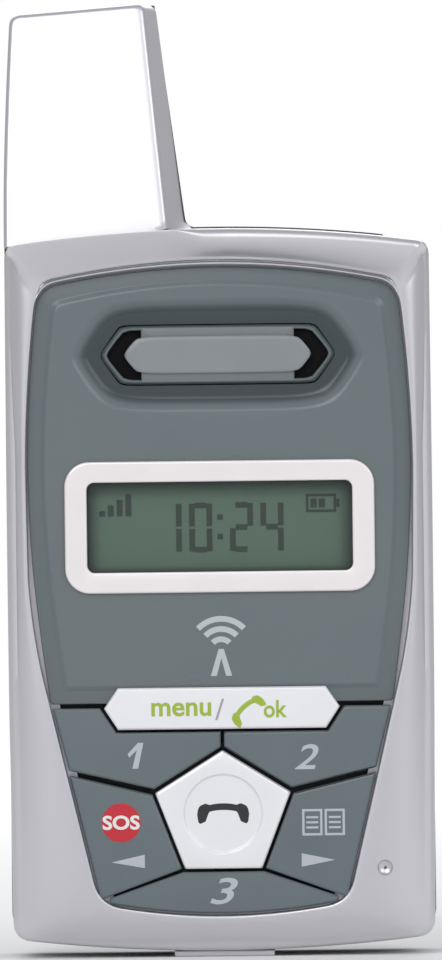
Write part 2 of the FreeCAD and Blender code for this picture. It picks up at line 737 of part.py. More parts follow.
cut(rear_housing, joint, back - wall, body_outline(wall, low=bay_ceiling))
cut(rear_housing, joint, back - antenna_back - wall, antenna_outline(antenna_wall))
for x, z in screw_places:
    add(rear_housing, seat - floor_skin + 0.1, joint, circle(x, z, boss_radius))
for x, z in screw_places:
    cut(rear_housing, joint, seat, circle(x, z, screw_radius + 0.1))
for x, z in screw_places:
    cut(rear_housing, seat, seat - head_depth - 0.1, circle(x, z, head_radius + 0.1))
cut(rear_housing, seat, card_floor,
    rectangle(-card_width / 2 - card_gap, card_width / 2 + card_gap,
              card_low - card_gap, card_low + card_height + card_travel + card_gap))
cut(rear_housing, seat, card_back - 0.05,
    rectangle(-card_width / 2 - holder_lug - 0.2, card_width / 2 + holder_lug + 0.2,
              card_low + 0.8, card_low + holder_height + 0.2))
for number in range(terminal_count):
    x = terminal_pitch * (number - (terminal_count - 1) / 2)
    cut(rear_housing, seat, joint, rectangle(x - terminal_half, x + terminal_half,
                                             terminal_height - terminal_rise,
                                             terminal_height + terminal_rise))
for side in (-1, 1):
    cut(rear_housing, seat, seat - floor_skin, circle(side * peg_x, peg_z, peg_radius + 0.15))
cut(rear_housing, back, recess_floor,
    rectangle(-latch_half - latch_gap, latch_half + latch_gap, pack_top - 0.1,
              latch_high + latch_travel + latch_gap))
cut(rear_housing, recess_floor, back - wall,
    rectangle(-latch_tail - latch_gap, latch_tail + latch_gap, latch_low + slot_low - latch_gap,
              latch_high - slot_high + latch_travel + latch_gap))
rest_low = latch_high + latch_travel + rest_rise
add(rear_housing, back - wall + 0.1, back - wall - rest_reach,
    rectangle(-rest_half, rest_half, rest_low, rest_low + rest_height))
for row in range(-2, 3):
    reach = 4.6 - abs(row) * 0.8
    z = ringer_z + row * slot_pitch
    cut(rear_housing, back, back - wall,
        rectangle(ringer_x - reach, ringer_x + reach, z - slot_width / 2, z + slot_width / 2))
cut(rear_housing, back, back - wall, circle(-port_x, ringer_z, port_radius + gap))
cut(rear_housing, joint, joint + seal_width, body_outline(seal_inset),
    body_outline(seal_inset + seal_width))
cut(rear_housing, -1, wall + 3, rectangle(-foot_half - gap, foot_half + gap, joint - 1,
                                          seat - floor_skin), plane="XY_Plane")

seal = new_body("perimeter_seal")
add(seal, joint + 0.02, joint + seal_width - 0.02, body_outline(seal_inset + 0.05),
    body_outline(seal_inset + seal_width - 0.05))

cut(seal, -1, wall + 3, rectangle(-foot_half - 0.2, foot_half + 0.2, joint - 1, seat),
    plane="XY_Plane")

# ---------------------------------------------------------------- faceplate group


rim_front = ledge - rim_thickness
panel_front = rim_front - panel_rise
speaker_z = body_top - speaker_drop
display_z = body_top - display_drop
menu_notch = [(-menu_tip - seam, seam_height), (-menu_flat - 0.15, menu_high + seam),
              (menu_flat + 0.15, menu_high + seam), (menu_tip + seam, seam_height)]


def hexagon(tip, flat, half_height, z):
    return [(tip, z), (flat, z + half_height), (-flat, z + half_height), (-tip, z),
            (-flat, z - half_height), (flat, z - half_height)]


def plate_outline(inset):
    """The opening above the keys, with its lower edge cut to fit the menu key."""
    edge = side_at(seam_height) - inset
    return [(-edge, seam_height)] + menu_notch + [(edge, seam_height)] + opening_top(inset)


def window(width, height):
    return rectangle(-width / 2, width / 2, display_z - height / 2, display_z + height / 2)


def window_corners(width, height):
    return [(side * width / 2, display_z + rise * height / 2)
            for side in (-1, 1) for rise in (-1, 1)]


faceplate = new_body("faceplate")
add(faceplate, ledge, rim_front, plate_outline(gap))
soften(faceplate, "Fillet", opening_corner, runs_deep_at(opening_corners(gap)[0]))
add(faceplate, rim_front + 0.1, panel_front, plate_outline(panel_inset))
soften(faceplate, "Fillet", panel_rise * 0.7, lies_at_depth(panel_front))
cut(faceplate, panel_front, panel_front + recess_sink,
    hexagon(recess_tip, recess_flat, recess_half, speaker_z))
cut(faceplate, panel_front, ledge, hexagon(slot_tip, slot_flat, slot_half, speaker_z))
cut(faceplate, panel_front, ledge, window(window_width + 1.2, window_height + 1.2))

plate_front = panel_front + recess_sink + 0.25
earpiece_bar = new_body("earpiece_bar")
add(earpiece_bar, ledge - 0.1, plate_front,
    hexagon(slot_tip - gap, slot_flat - gap, slot_half - gap, speaker_z))
add(earpiece_bar, plate_front + 0.1, panel_front + 0.1,
    [(bar_tip - bar_point, speaker_z + bar_half), (-bar_tip + bar_point, speaker_z + bar_half),
     (-bar_tip, speaker_z), (-bar_tip + bar_point, speaker_z - bar_half),
     (bar_tip - bar_point, speaker_z - bar_half), (bar_tip, speaker_z)])
for side in (-1, 1):
    cut(earpiece_bar, panel_front - 1, ledge,
        [(side * chevron_tip, speaker_z),
         (side * (chevron_end + chevron_point), speaker_z + chevron_half),
         (side * chevron_end, speaker_z + chevron_half), (side * chevron_end, speaker_z + bar_half),
         (side * (bar_tip - bar_point), speaker_z + bar_half), (side * bar_tip, speaker_z),
         (side * (bar_tip - bar_point), speaker_z - bar_half), (side * chevron_end, speaker_z - bar_half),
         (side * chevron_end, speaker_z - chevron_half),
         (side * (chevron_end + chevron_point), speaker_z - chevron_half)])

node("earpiece_mesh", block("earpiece_mesh", (-slot_tip - 0.8, slot_tip + 0.8),
                            (ledge + 0.02, ledge + 0.14),
                            (speaker_z - slot_half - 0.8, speaker_z + slot_half + 0.8)))

display_bezel = new_body("display_bezel")
add(display_bezel, panel_front, panel_front - display_rise, window(display_width, display_height))
soften(display_bezel, "Fillet", display_corner,
       runs_deep_at(window_corners(display_width, display_height)))
soften(display_bezel, "Fillet", 0.25, lies_at_depth(panel_front - display_rise))
cut(display_bezel, panel_front - display_rise, panel_front, window(window_width, window_height))
soften(display_bezel, "Fillet", window_corner,
       runs_deep_at(window_corners(window_width, window_height)))

node("display_lens", block("display_lens", (-window_width / 2 - 0.55, window_width / 2 + 0.55),
                           (panel_front + 0.02, panel_front + lens_thickness),
                           (display_z - window_height / 2 - 0.55,
                            display_z + window_height / 2 + 0.55)))

# ---------------------------------------------------------------- display module

lcd_back = ledge + 0.05 + lcd_thickness
guide_back = lcd_back + guide_thickness


def centred(width):
    return (-width / 2, width / 2)


def about_display(height):
    return (display_z - height / 2, display_z + height / 2)


node("lcd_panel", block("lcd_panel", centred(lcd_width), (ledge + 0.05, lcd_back),
                        about_display(lcd_height)))
node("backlight_guide", block("backlight_guide", centred(lcd_width), (lcd_back, guide_back),
                              about_display(lcd_height)))
frame_outer = block("lcd_frame_outer", centred(lcd_width + 2 * frame_side),
                    (ledge + 0.05, board_front), about_display(lcd_height + 2 * frame_side))
frame_inner = block("lcd_frame_inner", centred(lcd_width + 0.1), (ledge - 1, guide_back + 0.05),
                    about_display(lcd_height + 0.1))
node("lcd_frame", less("lcd_frame", frame_outer, frame_inner))
flex_low = display_z - lcd_height / 2 - frame_side
node("lcd_flex", block("lcd_flex", (-7.0, 7.0), (board_front - 0.15, board_front),
                       (flex_low - 3.5, flex_low)))

# ---------------------------------------------------------------- keypad


grey_face = bezel + key_front
silver_face = grey_face - silver_rise
key_back = grey_face + key_depth
mat_front = key_back + key_travel + 0.1
mat_back = mat_front + mat_thickness
dome_top = board_front - film_thickness - dome_height
plunger_tip = dome_top - key_travel - 0.08


low_seam = opening_foot - 0.15
key_outlines = {
    "menu_key": [(menu_tip, menu_middle), (menu_flat, menu_high), (-menu_flat, menu_high),
                 (-menu_tip, menu_middle), (-menu_flat, menu_low), (menu_flat, menu_low)],
    "end_key": [(0.0, end_top), (-end_wide, end_shoulder), (-end_narrow, end_foot),
                (end_narrow, end_foot), (end_wide, end_shoulder)],
    "key_two": [(side_at(seam_height) - key_side, seam_height - seam),
                (menu_tip + seam + 0.1, seam_height - seam),
                (menu_flat + 0.2, menu_low - seam + 0.05), (seam / 2, menu_low - seam + 0.05),
                (seam / 2, end_top + seam), (end_wide + 0.1, end_shoulder + seam + 0.08),
                (side_at(seam_side) - key_side, seam_side + seam / 2)],
    "book_key": [(end_wide + 0.3, end_shoulder - 0.15),
                 (side_at(seam_side) - key_side, seam_side - seam),
                 (side_at(low_seam + 0.9) - key_side, low_seam + seam + 0.25),
                 (end_narrow + 0.35, end_foot)],
    "key_three": [(-end_narrow - 0.2, end_foot - seam), (-foot_x + 1.1, low_seam + 0.75),
                  (-foot_x + 1.1, low_seam + 0.15, arc_radius(foot_x, bottom_rise)),
                  (foot_x - 1.1, low_seam + 0.15), (foot_x - 1.1, low_seam + 0.75),
                  (end_narrow + 0.2, end_foot - seam)],
}
for name, right_name in (("key_one", "key_two"), ("sos_key", "book_key")):
    key_outlines[name] = [(-corner[0], corner[1]) for corner in key_outlines[right_name]]
plungers = {"menu_key": (0.0, menu_middle), "end_key": (0.0, end_middle),
            "key_two": (one_x, one_z), "key_one": (-one_x, one_z),
            "book_key": (sos_x, sos_z), "sos_key": (-sos_x, sos_z), "key_three": (0.0, three_z)}
key_body = {}
for name, corners in key_outlines.items():
    face = silver_face if name in ("menu_key", "end_key") else grey_face
    key = new_body(name)
    add(key, key_back, face, corners)
    soften(key, "Chamfer", key_bevel, lies_at_depth(face))
    add(key, key_back - 0.1, plunger_tip, circle(*plungers[name], plunger_radius))
    key_body[name] = key
cut(key_body["end_key"], silver_face, silver_face + dish_depth,
    circle(0.0, end_middle, dish_radius))

mat = new_body("keypad_mat")
mat_holes = [circle(*place, plunger_radius + 0.3) for place in plungers.values()]
add(mat, mat_back, mat_front, keypad_outline(0.35, menu_high + 0.3), *mat_holes)
node("dome_film", block("dome_film", centred(2 * foot_x), (board_front - film_thickness, board_front),
                        (opening_foot + 0.2, menu_high)))
domes = []
for name, (x, z) in plungers.items():
    dome = document.addObject("Part::Cone", "dome_of_" + name)
    dome.Placement = FreeCAD.Placement(FreeCAD.Vector(), TURN["y"])
    bind(dome, Radius1=dome_radius * 0.5, Radius2=dome_radius, Height=dome_height)
    bind(dome, Placement__Base__x=x, Placement__Base__y=dome_top, Placement__Base__z=z)
    domes.append(dome)
node("key_domes", group("key_domes", domes))

# ---------------------------------------------------------------- main board group

ear_x = half - mic_x + mic_radius + mic_margin / 2
ear_half = mic_radius + mic_margin

board = new_body("main_board")
add(board, board_front, board_back,
    [(-board_x, board_low_z + board_corner), (board_corner - board_x, board_low_z),
     (board_x - board_corner, board_low_z), (board_x, board_low_z + board_corner),
     (board_x, mic_z - ear_half), (ear_x, mic_z - ear_half), (ear_x, mic_z + ear_half),
     (board_x, mic_z + ear_half),
     (board_x, board_top_z), (-board_x, board_top_z)],
    *[circle(x, z, board_screw_radius + 0.15) for x, z in post_places])


def shield_can(name, x, z):
    """A folded sheet lid, open towards the board."""
    outer = block(name + "_outer", x, (board_back, board_back + can_depth), z)
    inner = block(name + "_inner", (x[0] + can_skin, x[1] - can_skin),
                  (board_back - 1, board_back + can_depth - can_skin),
                  (z[0] + can_skin, z[1] - can_skin))
    return node(name, less(name, outer, inner))


shield_can("processor_can", (-processor_half, processor_half), (processor_low, processor_high))
radio_low = body_top - radio_low_drop
radio_high = body_top - radio_high_drop
shield_can("radio_can", (-radio_left, radio_right), (radio_low, radio_high))
chips = [block("processor_chip", (-9.0, 1.0), (board_back, board_back + chip_height),
               (processor_low + 4, processor_low + 14)),
         block("memory_chip", (3.5, 11.5), (board_back, board_back + chip_height),
               (processor_low + 3, processor_low + 15)),
         block("radio_chip", (-11.0, -4.0), (board_back, board_back + chip_height),
               (radio_low + 3, radio_low + 10)),
         block("amplifier_chip", (5.0, 9.5), (board_back, board_back + chip_height),
               (radio_low + 4, radio_low + 8.5))]
node("board_chips", group("board_chips", chips))
lights = [block(f"key_light_{number}", (x - 0.5, x + 0.5), (board_front - 0.38, board_front - 0.08),
                (z - 0.3, z + 0.3))
          for number, (x, z) in enumerate([(-13.3, 25.4), (-4.0, 11.0), (4.0, 11.0), (13.3, 25.4)])]
node("key_lights", group("key_lights", lights))
node("backup_cell", rod("backup_cell", "y", backup_radius, 8.5, board_back + 0.05,
                        processor_low - backup_drop, backup_thickness))

screw_heads = []
for number, (x, z) in enumerate(post_places):
    shank = rod(f"board_shank_{number}", "y", board_screw_radius, x, cavity - 0.6, z,
                board_back + 0.1 - cavity + 0.6)
    head = rod(f"board_head_{number}", "y", board_head_radius, x, board_back + 0.02, z,
               board_head_depth)
    screw_heads.append(joined(f"board_screw_{number}", shank, head))
node("board_screws", group("board_screws", screw_heads))
long_screws = []
for number, (x, z) in enumerate(screw_places):
    shank = rod(f"housing_shank_{number}", "y", screw_radius, x, board_back, z,
                seat - head_depth - board_back)
    head = rod(f"housing_head_{number}", "y", head_radius, x, seat - head_depth - 0.05, z,
               head_depth)
    socket = rod(f"housing_drive_{number}", "y", drive_radius, x, seat - 0.55, z, 1.0)
    whole = joined(f"housing_whole_{number}", shank, head)
    long_screws.append(less(f"housing_screw_{number}", whole, socket))
node("housing_screws", group("housing_screws", long_screws))

# ---------------------------------------------------------------- sound and shaking

gasket = joined("gasket_ring",
                less("gasket_cut",
                     rod("gasket_outer", "y", speaker_radius + 0.6, 0.0, ledge + 0.16, speaker_z,
                         0.8),
                     rod("gasket_inner", "y", speaker_radius - 0.6, 0.0, ledge, speaker_z, 2.0)))
node("earpiece_gasket", gasket)
node("earpiece_speaker", rod("earpiece_speaker", "y", speaker_radius, 0.0, ledge + 0.98, speaker_z,
                             board_front - ledge - 1.0))
microphone_x = half - mic_x
node("microphone", rod("microphone", "y", mic_radius - 0.4, microphone_x, cavity + 0.35, mic_z,
                       board_front - cavity - 0.35))
node("microphone_boot",
     less("microphone_boot", rod("boot_outer", "y", mic_radius, microphone_x, cavity + 0.02, mic_z,
                                 board_front - cavity - 0.04),
          joined("boot_space", rod("boot_inner", "y", mic_radius - 0.38, microphone_x,
                                   cavity + 0.33, mic_z, 3.0),
                 rod("boot_bore", "y", mic_hole, microphone_x, cavity - 1.0, mic_z, 3.0))))
node("ringer", rod("ringer", "y", ringer_radius, ringer_x, back - wall - 0.1 - ringer_depth,
                   ringer_z, ringer_depth))
node("test_port_plug", joined("test_port_plug",
                              rod("port_plug_stem", "y", port_radius, -port_x, back - wall - 0.6,
                                  ringer_z, wall + 0.5),
                              rod("port_plug_flange", "y", port_radius + 0.7, -port_x,
                                  back - wall - 0.7, ringer_z, 0.65)))

motor_radius = (seat - floor_skin - board_back) * motor_share
motor_y = board_back + motor_radius + 0.15
weight_radius = motor_radius * 0.84
shaft_radius = motor_radius * 0.18
foot_rise = motor_radius * 0.63
weight_left = motor_left - shaft_gap
node("vibration_motor",
     less("vibration_motor",
          joined("motor_whole",
                 rod("motor_can", "x", motor_radius, motor_left, motor_y, motor_z, motor_length),
                 block("motor_foot", (motor_left + 0.4, motor_left + motor_length - 0.4),
                       (board_back, motor_y), (motor_z - foot_rise, motor_z + foot_rise))),
          rod("motor_bore", "x", shaft_radius * 1.15, motor_left - 1.0, motor_y, motor_z,
              motor_length - 2.0)))
node("motor_weight",
     joined("motor_weight",
            rod("motor_shaft", "x", shaft_radius, weight_left, motor_y, motor_z,
                shaft_gap + motor_length / 2),
            less("weight_half",
                 rod("weight_disc", "x", weight_radius, weight_left + 0.1, motor_y, motor_z,
                     weight_length),
                 block("weight_cut", (weight_left - 1.0, weight_left + weight_length + 1.0),
                       (motor_y - motor_radius, motor_y + motor_radius),
                       (motor_z + shaft_radius * 1.3, motor_z + motor_radius)))))

# ---------------------------------------------------------------- antenna group

core_x = -half + core_inset
core_front = front + antenna_front + wall
core_back = back - antenna_back - wall
core_y = (core_front + core_back) / 2
core_z = body_top + core_rise
core_radius = (core_back - core_front) / 2 - core_slack
node("antenna_core",
     less("antenna_core", rod("core_solid", "z", core_radius, core_x, core_y, core_z, core_length),
          rod("core_hollow", "z", core_radius - core_bore, core_x, core_y, core_z - 1,
              core_length + 2)))
node("antenna_wrap",
     less("antenna_wrap", rod("wrap_solid", "z", core_radius + wrap_skin, core_x, core_y, core_z + 0.5,
                              core_length - 1.0),
          rod("wrap_hollow", "z", core_radius + 0.01, core_x, core_y, core_z - 1, core_length + 3)))
node("antenna_board", block("antenna_board", (core_x - antenna_board_half, core_x + antenna_board_half),
                            (core_front + 0.5, core_y + core_radius),
                            (core_z - board_thickness - 0.05, core_z)))
rise_y = (board_back + joint - seal_width) / 2
springs = []
for number, shift in enumerate((-2.8, 0.6)):
    x = core_x + shift
    arm = block(f"contact_arm_{number}", (x - contact_half, x + contact_half), (board_back, rise_y + 0.1),
                (board_top_z - arm_drop, board_top_z - arm_drop + contact_skin))
    rise = block(f"contact_rise_{number}", (x - contact_half, x + contact_half),
                 (rise_y - 0.1, rise_y + 0.1),
                 (board_top_z - arm_drop, core_z - board_thickness - 0.07))
    springs.append(joined(f"antenna_contact_{number}", arm, rise))
node("antenna_contacts", group("antenna_contacts", springs))
node("cellular_element",
     block("cellular_element", (-half + antenna_wall + 2.2, tip_right - 3.6),
           (back - antenna_back - wall - 0.35, back - antenna_back - wall - 0.1),
           (core_z + 1.0, antenna_tip - tip_fall - antenna_wall - 1.2)))

# ---------------------------------------------------------------- dock connector

socket_y = board_back + socket_front
socket_gap = (seat - floor_skin - board_back) * socket_share
shell_low = wall + foot_height + 0.1
socket_side = socket_half + shell_skin
shell = block("dock_shell", (-socket_side, socket_side),
              (socket_y - shell_skin + 0.1, socket_y + socket_gap + shell_skin),
              (shell_low, shell_low + shell_height))
space = block("dock_space", (-socket_half, socket_half), (socket_y + 0.1, socket_y + socket_gap),
              (shell_low - 1, shell_low + shell_height - 0.6))
tongue_y = socket_y + socket_gap / 2
tongue = block("dock_tongue", (-socket_half + 0.7, socket_half - 0.7),
               (tongue_y - 0.35, tongue_y + 0.35), (shell_low + 1.2, shell_low + shell_height - 0.5))
node("dock_connector", joined("dock_connector", less("dock_hollow", shell, space), tongue))
pins = []
for number in range(8):
    x = 0.85 * (number - 3.5)
    pins.append(block(f"dock_pin_{number}", (x - 0.2, x + 0.2),
                      (tongue_y + 0.36, tongue_y + 0.5),
                      (shell_low + 1.4, shell_low + shell_height - 0.7)))
node("dock_contacts", group("dock_contacts", pins))
shroud_core = block("shroud_core", (-foot_half, foot_half), (shroud_front, seat - floor_skin - 0.1),
                    (0.0, wall + foot_height - 0.05))
shroud_foot = block("shroud_foot", (-foot_half, foot_half), (front + foot_front, seat - 0.1),
                    (0.0, foot_height - 0.02))
shroud_space = block("shroud_space", (-socket_half - 0.2, socket_half + 0.2),
                     (socket_y, socket_y + socket_gap + 0.1), (-1.0, wall + 3))
node("connector_shroud", less("connector_shroud",
                              joined("shroud_whole", shroud_core, shroud_foot), shroud_space))

# ---------------------------------------------------------------- card and holder

node("sim_card", less("sim_card",
                      block("card_blank", centred(card_width), (card_front, card_back),
                            (card_low, card_low + card_height)),
                      block("card_notch", (card_width / 2 - 2.5, card_width / 2 + 1),
                            (card_front - 1, card_back + 1),
                            (card_low - 1, card_low + 2.5))))
node("sim_holder", block("sim_holder", centred(card_width + 2 * holder_lug),
                         (card_back + 0.05, card_back + 0.25),
                         (card_low + 1.0, card_low + holder_height)))

# ---------------------------------------------------------------- battery pack

pack_front = seat + pack_gap
pack_high = pack_top - pack_gap

pack_cover = new_body("pack_cover")
add(pack_cover, pack_front, back, body_outline(0.0, high=pack_high))
soften(pack_cover, "Fillet", bottom_corner,
       runs_deep_at([(half, base_at(half)), (-half, base_at(half))]))
round_back(pack_cover, pack_top)
cut(pack_cover, -half - 5, half + 5,
    [(back - back_round, foot_height, back_round), (back, foot_height + back_round),
     (back + 3, foot_height + back_round), (back + 3, foot_height - 3),
     (back - back_round, foot_height - 3)], plane="YZ_Plane")
cut(pack_cover, pack_front, back - pack_wall, body_outline(pack_wall + 2.6, low=6.0,
                                                           high=pack_high - pack_wall))
add(pack_cover, seat + 0.4, back - 2.4, [(-foot_half, 0.0), (foot_half, 0.0),
                                         (foot_half, foot_height + 0.5),
                                         (-foot_half, foot_height + 0.5)])
for row in range(5):
    z = pack_top - 8.0 - row * 1.9
    cut(pack_cover, back, back - 0.35, rectangle(-7.0, 7.0, z - 0.45, z + 0.45))

inner_x = half - pack_wall - 2.6
tray = new_body("pack_tray")
add(tray, pack_front, pack_front + tray_depth,
    rectangle(-inner_x + gap, inner_x - gap, 6.0 + gap, pack_high - pack_wall - gap))
for side in (-1, 1):
    add(tray, pack_front + 0.1, seat - 1.1, circle(side * peg_x, peg_z, peg_radius))
contact_low = terminal_height - 1.6
contact_high = terminal_height + 1.6
for number in range(terminal_count):
    x = terminal_pitch * (number - (terminal_count - 1) / 2)
    cut(tray, pack_front, pack_front + tray_depth,
        rectangle(x - 1.05, x + 1.05, contact_low - gap, contact_high + gap))
cell_front = pack_front + tray_depth + 0.1
cell_back = back - pack_wall - 0.1
node("battery_cell", block("battery_cell", centred(cell_width), (cell_front, cell_back),
                           (cell_low, cell_low + cell_height)))
guard_low = cell_low + cell_height + 0.5
node("protection_board", block("protection_board", centred(cell_width - 4.0),
                               (cell_front, cell_front + 0.8), (guard_low, pack_high - pack_wall - 0.3)))
pads = []
for number in range(terminal_count):
    x = terminal_pitch * (number - (terminal_count - 1) / 2)
    pads.append(block(f"pack_pad_{number}", (x - 1.0, x + 1.0),
                      (pack_front + 0.3, pack_front + tray_depth), (contact_low, contact_high)))
node("pack_contacts", group("pack_contacts", pads))
blades = []
for number in range(terminal_count):
    x = terminal_pitch * (number - (terminal_count - 1) / 2)
    leg = block(f"terminal_leg_{number}", (x - 0.5, x + 0.5), (board_back, seat - 0.5),
                (terminal_height - 1.9, terminal_height - 1.65))
    nose = block(f"terminal_nose_{number}", (x - 0.5, x + 0.5), (seat - 0.7, seat - 0.5),
                 (terminal_height - 1.9, terminal_height + 1.2))
    tip = rod(f"terminal_tip_{number}", "x", 0.45, x - 0.5, seat - 0.38, terminal_height + 0.6, 1.0)
    blades.append(joined(f"battery_terminal_{number}", leg, nose, tip))
node("battery_terminals", group("battery_terminals", blades))

# ---------------------------------------------------------------- latch

latch = new_body("latch_button")
add(latch, recess_floor + 0.1, back - 0.1,
    rectangle(-latch_half, latch_half, latch_low, latch_high))
soften(latch, "Fillet", 0.3, lies_at_depth(back - 0.1))
for row in range(4):
    z = latch_low + 1.4 + row * 1.25
    cut(latch, back - 0.1, back - 0.4, rectangle(-4.6, 4.6, z - 0.3, z + 0.3))
add(latch, recess_floor + 0.2, back - wall - 2.4,
    rectangle(-latch_tail, latch_tail, latch_low + 1.2, latch_high - 1.5))

spring_low = latch_high - 1.5 + 0.1
spring_high = rest_low - 0.1
spring_legs = 6
spring_pitch = (spring_high - spring_low - spring_strip) / spring_legs
turns = [((-1) ** turn * spring_half, spring_low + turn * spring_pitch)
         for turn in range(spring_legs + 1)]
spring = new_body("latch_spring")
spring_y = back - wall - 1.2
add(spring, spring_y, spring_y - spring_depth,
    turns + [(x, z + spring_strip) for x, z in reversed(turns)])

# ---------------------------------------------------------------- check and export

document.recompute()
for thing in document.Objects:
    if "Invalid" in thing.State or "Error" in thing.State:
        raise RuntimeError(f"{thing.Label} failed: {thing.State}")
for name, thing in nodes.items():
    if thing.Shape.isNull() or not thing.Shape.isValid() or not thing.Shape.Solids:
        raise RuntimeError(f"{name} has no valid solid")
for name, thing in nodes.items():
    thing.Shape.exportStep(f"parts/{name}.step")
print(len(nodes), "pieces")
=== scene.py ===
import math

import bmesh
import bpy
import numpy as np
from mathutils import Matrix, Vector


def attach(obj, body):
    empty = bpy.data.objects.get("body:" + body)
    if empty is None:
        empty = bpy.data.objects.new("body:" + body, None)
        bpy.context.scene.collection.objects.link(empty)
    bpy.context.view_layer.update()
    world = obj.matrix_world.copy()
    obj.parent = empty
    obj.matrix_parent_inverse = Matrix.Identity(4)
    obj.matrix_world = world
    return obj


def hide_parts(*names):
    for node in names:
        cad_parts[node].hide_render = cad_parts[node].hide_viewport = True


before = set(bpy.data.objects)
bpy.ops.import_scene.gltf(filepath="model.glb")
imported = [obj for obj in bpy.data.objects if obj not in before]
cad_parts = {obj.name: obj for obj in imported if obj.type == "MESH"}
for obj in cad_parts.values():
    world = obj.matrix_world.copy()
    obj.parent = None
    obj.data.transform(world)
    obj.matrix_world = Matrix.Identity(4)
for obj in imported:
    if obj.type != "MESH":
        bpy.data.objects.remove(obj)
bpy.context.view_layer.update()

# ---------------------------------------------------------------- front case
# The front shell of the case, moulded plastic in a satin silver paint. It is a ring round the
# faceplate and the keys: a double lip, a bezel that falls away to the sides and the foot, and a
# brow at the top that climbs to the crest, where the antenna block begins.
# Lengths are in millimetres, and a depth is a place along y.
MM = 0.001
CREST, BEZEL, EDGE, JOINT = -10.5, -8.8, -7.35, 1.0
SHELF, SHELF_BACK = -6.6, -5.6
WALL = 1.6


class Signal:
    """A shader socket in an expression. Each operator adds the Math node that works it out."""

    def __init__(self, finish, socket):
        self.finish, self.socket = finish, socket

    def maths(self, operation, *values):
        return self.finish.node("ShaderNodeMath", {"operation": operation},
                                dict(enumerate(values)))

    def __add__(self, other):
        return self.maths("ADD", self, other)

    def __sub__(self, other):
        return self.maths("SUBTRACT", self, other)

    def __rsub__(self, other):
        return self.maths("SUBTRACT", other, self)

    def __mul__(self, other):
        return self.maths("MULTIPLY", self, other)

    def __truediv__(self, other):
        return self.maths("DIVIDE", self, other)

    def __pow__(self, other):
        return self.maths("POWER", self, other)

    def __abs__(self):
        return self.maths("ABSOLUTE", self)

    def limited(self):
        return self.finish.node("ShaderNodeClamp", {}, {"Value": self})

    __radd__ = __add__
    __rmul__ = __mul__


class Finish:
    """A procedural material: one Principled surface and the nodes that vary it."""

    def __init__(self, name):
        self.material = bpy.data.materials.new(name)
        self.material.use_nodes = True
        self.tree = self.material.node_tree
        self.surface = self.tree.nodes["Principled BSDF"]
        self.place = self.node("ShaderNodeTexCoord", output="Object")

    def node(self, kind, settings=None, sockets=None, output=0):
        """A node of this kind: settings first, then the values or links of its sockets."""
        made = self.tree.nodes.new(kind)
        for key, value in (settings or {}).items():
            setattr(made, key, value)
        for key, value in (sockets or {}).items():
            self.join(value, made.inputs[key])
        return Signal(self, made.outputs[output])

    def join(self, value, socket):
        if isinstance(value, Signal):
            self.tree.links.new(value.socket, socket)
        elif socket.type == "RGBA":
            socket.default_value = (*value, 1.0)
        else:
            socket.default_value = value

    def noise(self, size, detail=2.0):
        """Noise of about 0.5, in blotches size millimetres across."""
        return self.node("ShaderNodeTexNoise", {},
                         {"Vector": self.place, "Scale": 1 / (size * MM), "Detail": detail})

    def mix(self, share, first, second):
        return self.node("ShaderNodeMix", {"data_type": "RGBA"}, {0: share, 6: first, 7: second},
                         output=2)

    def relief(self, height, depth):
        """The normal over bumps that are depth millimetres deep."""
        return self.node("ShaderNodeBump", {}, {"Height": height, "Distance": depth * MM})

    def looks(self, **sockets):
        """Sets the surface; Base_Color stands for the socket Base Color."""
        for key, value in sockets.items():
            self.join(value, self.surface.inputs[key.replace("_", " ")])
        return self.material


def silver_paint():
    paint = Finish("silver_paint")
    flakes = paint.noise(0.16, 1.0)
    cloud = paint.noise(14.0)
    return paint.looks(
        Base_Color=paint.mix(cloud, (0.625, 0.62, 0.655), (0.68, 0.67, 0.70)),
        Roughness=0.30 + 0.12 * flakes, Metallic=0.88,
        Normal=paint.relief(flakes, 0.003))


def bow(start, end, rise, share):
    """Points on a parabola from start to end at each share of the way, which bows out to the
    right of the way by rise at its middle: start + (end - start) t + 4 rise t (1 - t) n."""
    way = np.subtract(end, start)
    out = np.array([way[1], -way[0]]) / np.hypot(*way)
    share = np.asarray(share)[:, None]
    return start + way * share + out * (4 * rise * share * (1 - share))


def outline(corners, along=14, turn=8):
    """A closed loop of (x, z) rows. A corner is (x, z, rise of the side after it, radius). Its
    turn is a quadratic Bezier curve: (1-t)^2 a + 2 t (1-t) corner + t^2 b, a and b a radius off."""
    loop = []
    for number, (x, z, rise, radius) in enumerate(corners):
        before, after = corners[number - 1], corners[(number + 1) % len(corners)]
        here, last, following = (np.array(c[:2], float) for c in ((x, z), before, after))
        back = radius / np.hypot(*(here - last))
        ahead = radius / np.hypot(*(following - here))
        arriving = bow(last, here, before[2], [1 - back])
        leaving = bow(here, following, rise, [ahead])
        t = np.linspace(0, 1, turn)[:, None]
        loop.append((1 - t) ** 2 * arriving + 2 * t * (1 - t) * here + t ** 2 * leaving)
        end = 1 - after[3] / np.hypot(*(following - here))
        loop.append(bow(here, following, rise, np.linspace(ahead, end, along + 2)[1:-1]))
    return np.concatenate(loop)


def mirrored(right, base_rise):
    """Corners of the right half, foot to top, then their twins on the left, top to foot. The
    side after a left corner rises as the one before its twin does, and the foot by base_rise."""
    before = [base_rise] + [corner[2] for corner in right[:-1]]
    left = [(-x, z, rise, radius) for (x, z, _, radius), rise in zip(right, before)]
    return right + left[::-1]


def skin(rings, closed=False):
    """Points and faces through rings of points in millimetres: quads between each ring and the
    next, from the last back to the first if closed, and otherwise a face on each end."""
    rings = np.asarray(rings, float) * MM
    count, around = rings.shape[:2]
    index = np.arange(count * around).reshape(count, around)
    rows = np.vstack([index, index[:1]]) if closed else index
    quads = np.stack([rows[:-1], np.roll(rows[:-1], -1, 1), np.roll(rows[1:], -1, 1), rows[1:]], -1)
    faces = quads.reshape(-1, 4).tolist()
    if not closed:
        faces += [index[0].tolist(), index[-1].tolist()]
    return rings.reshape(-1, 3), faces


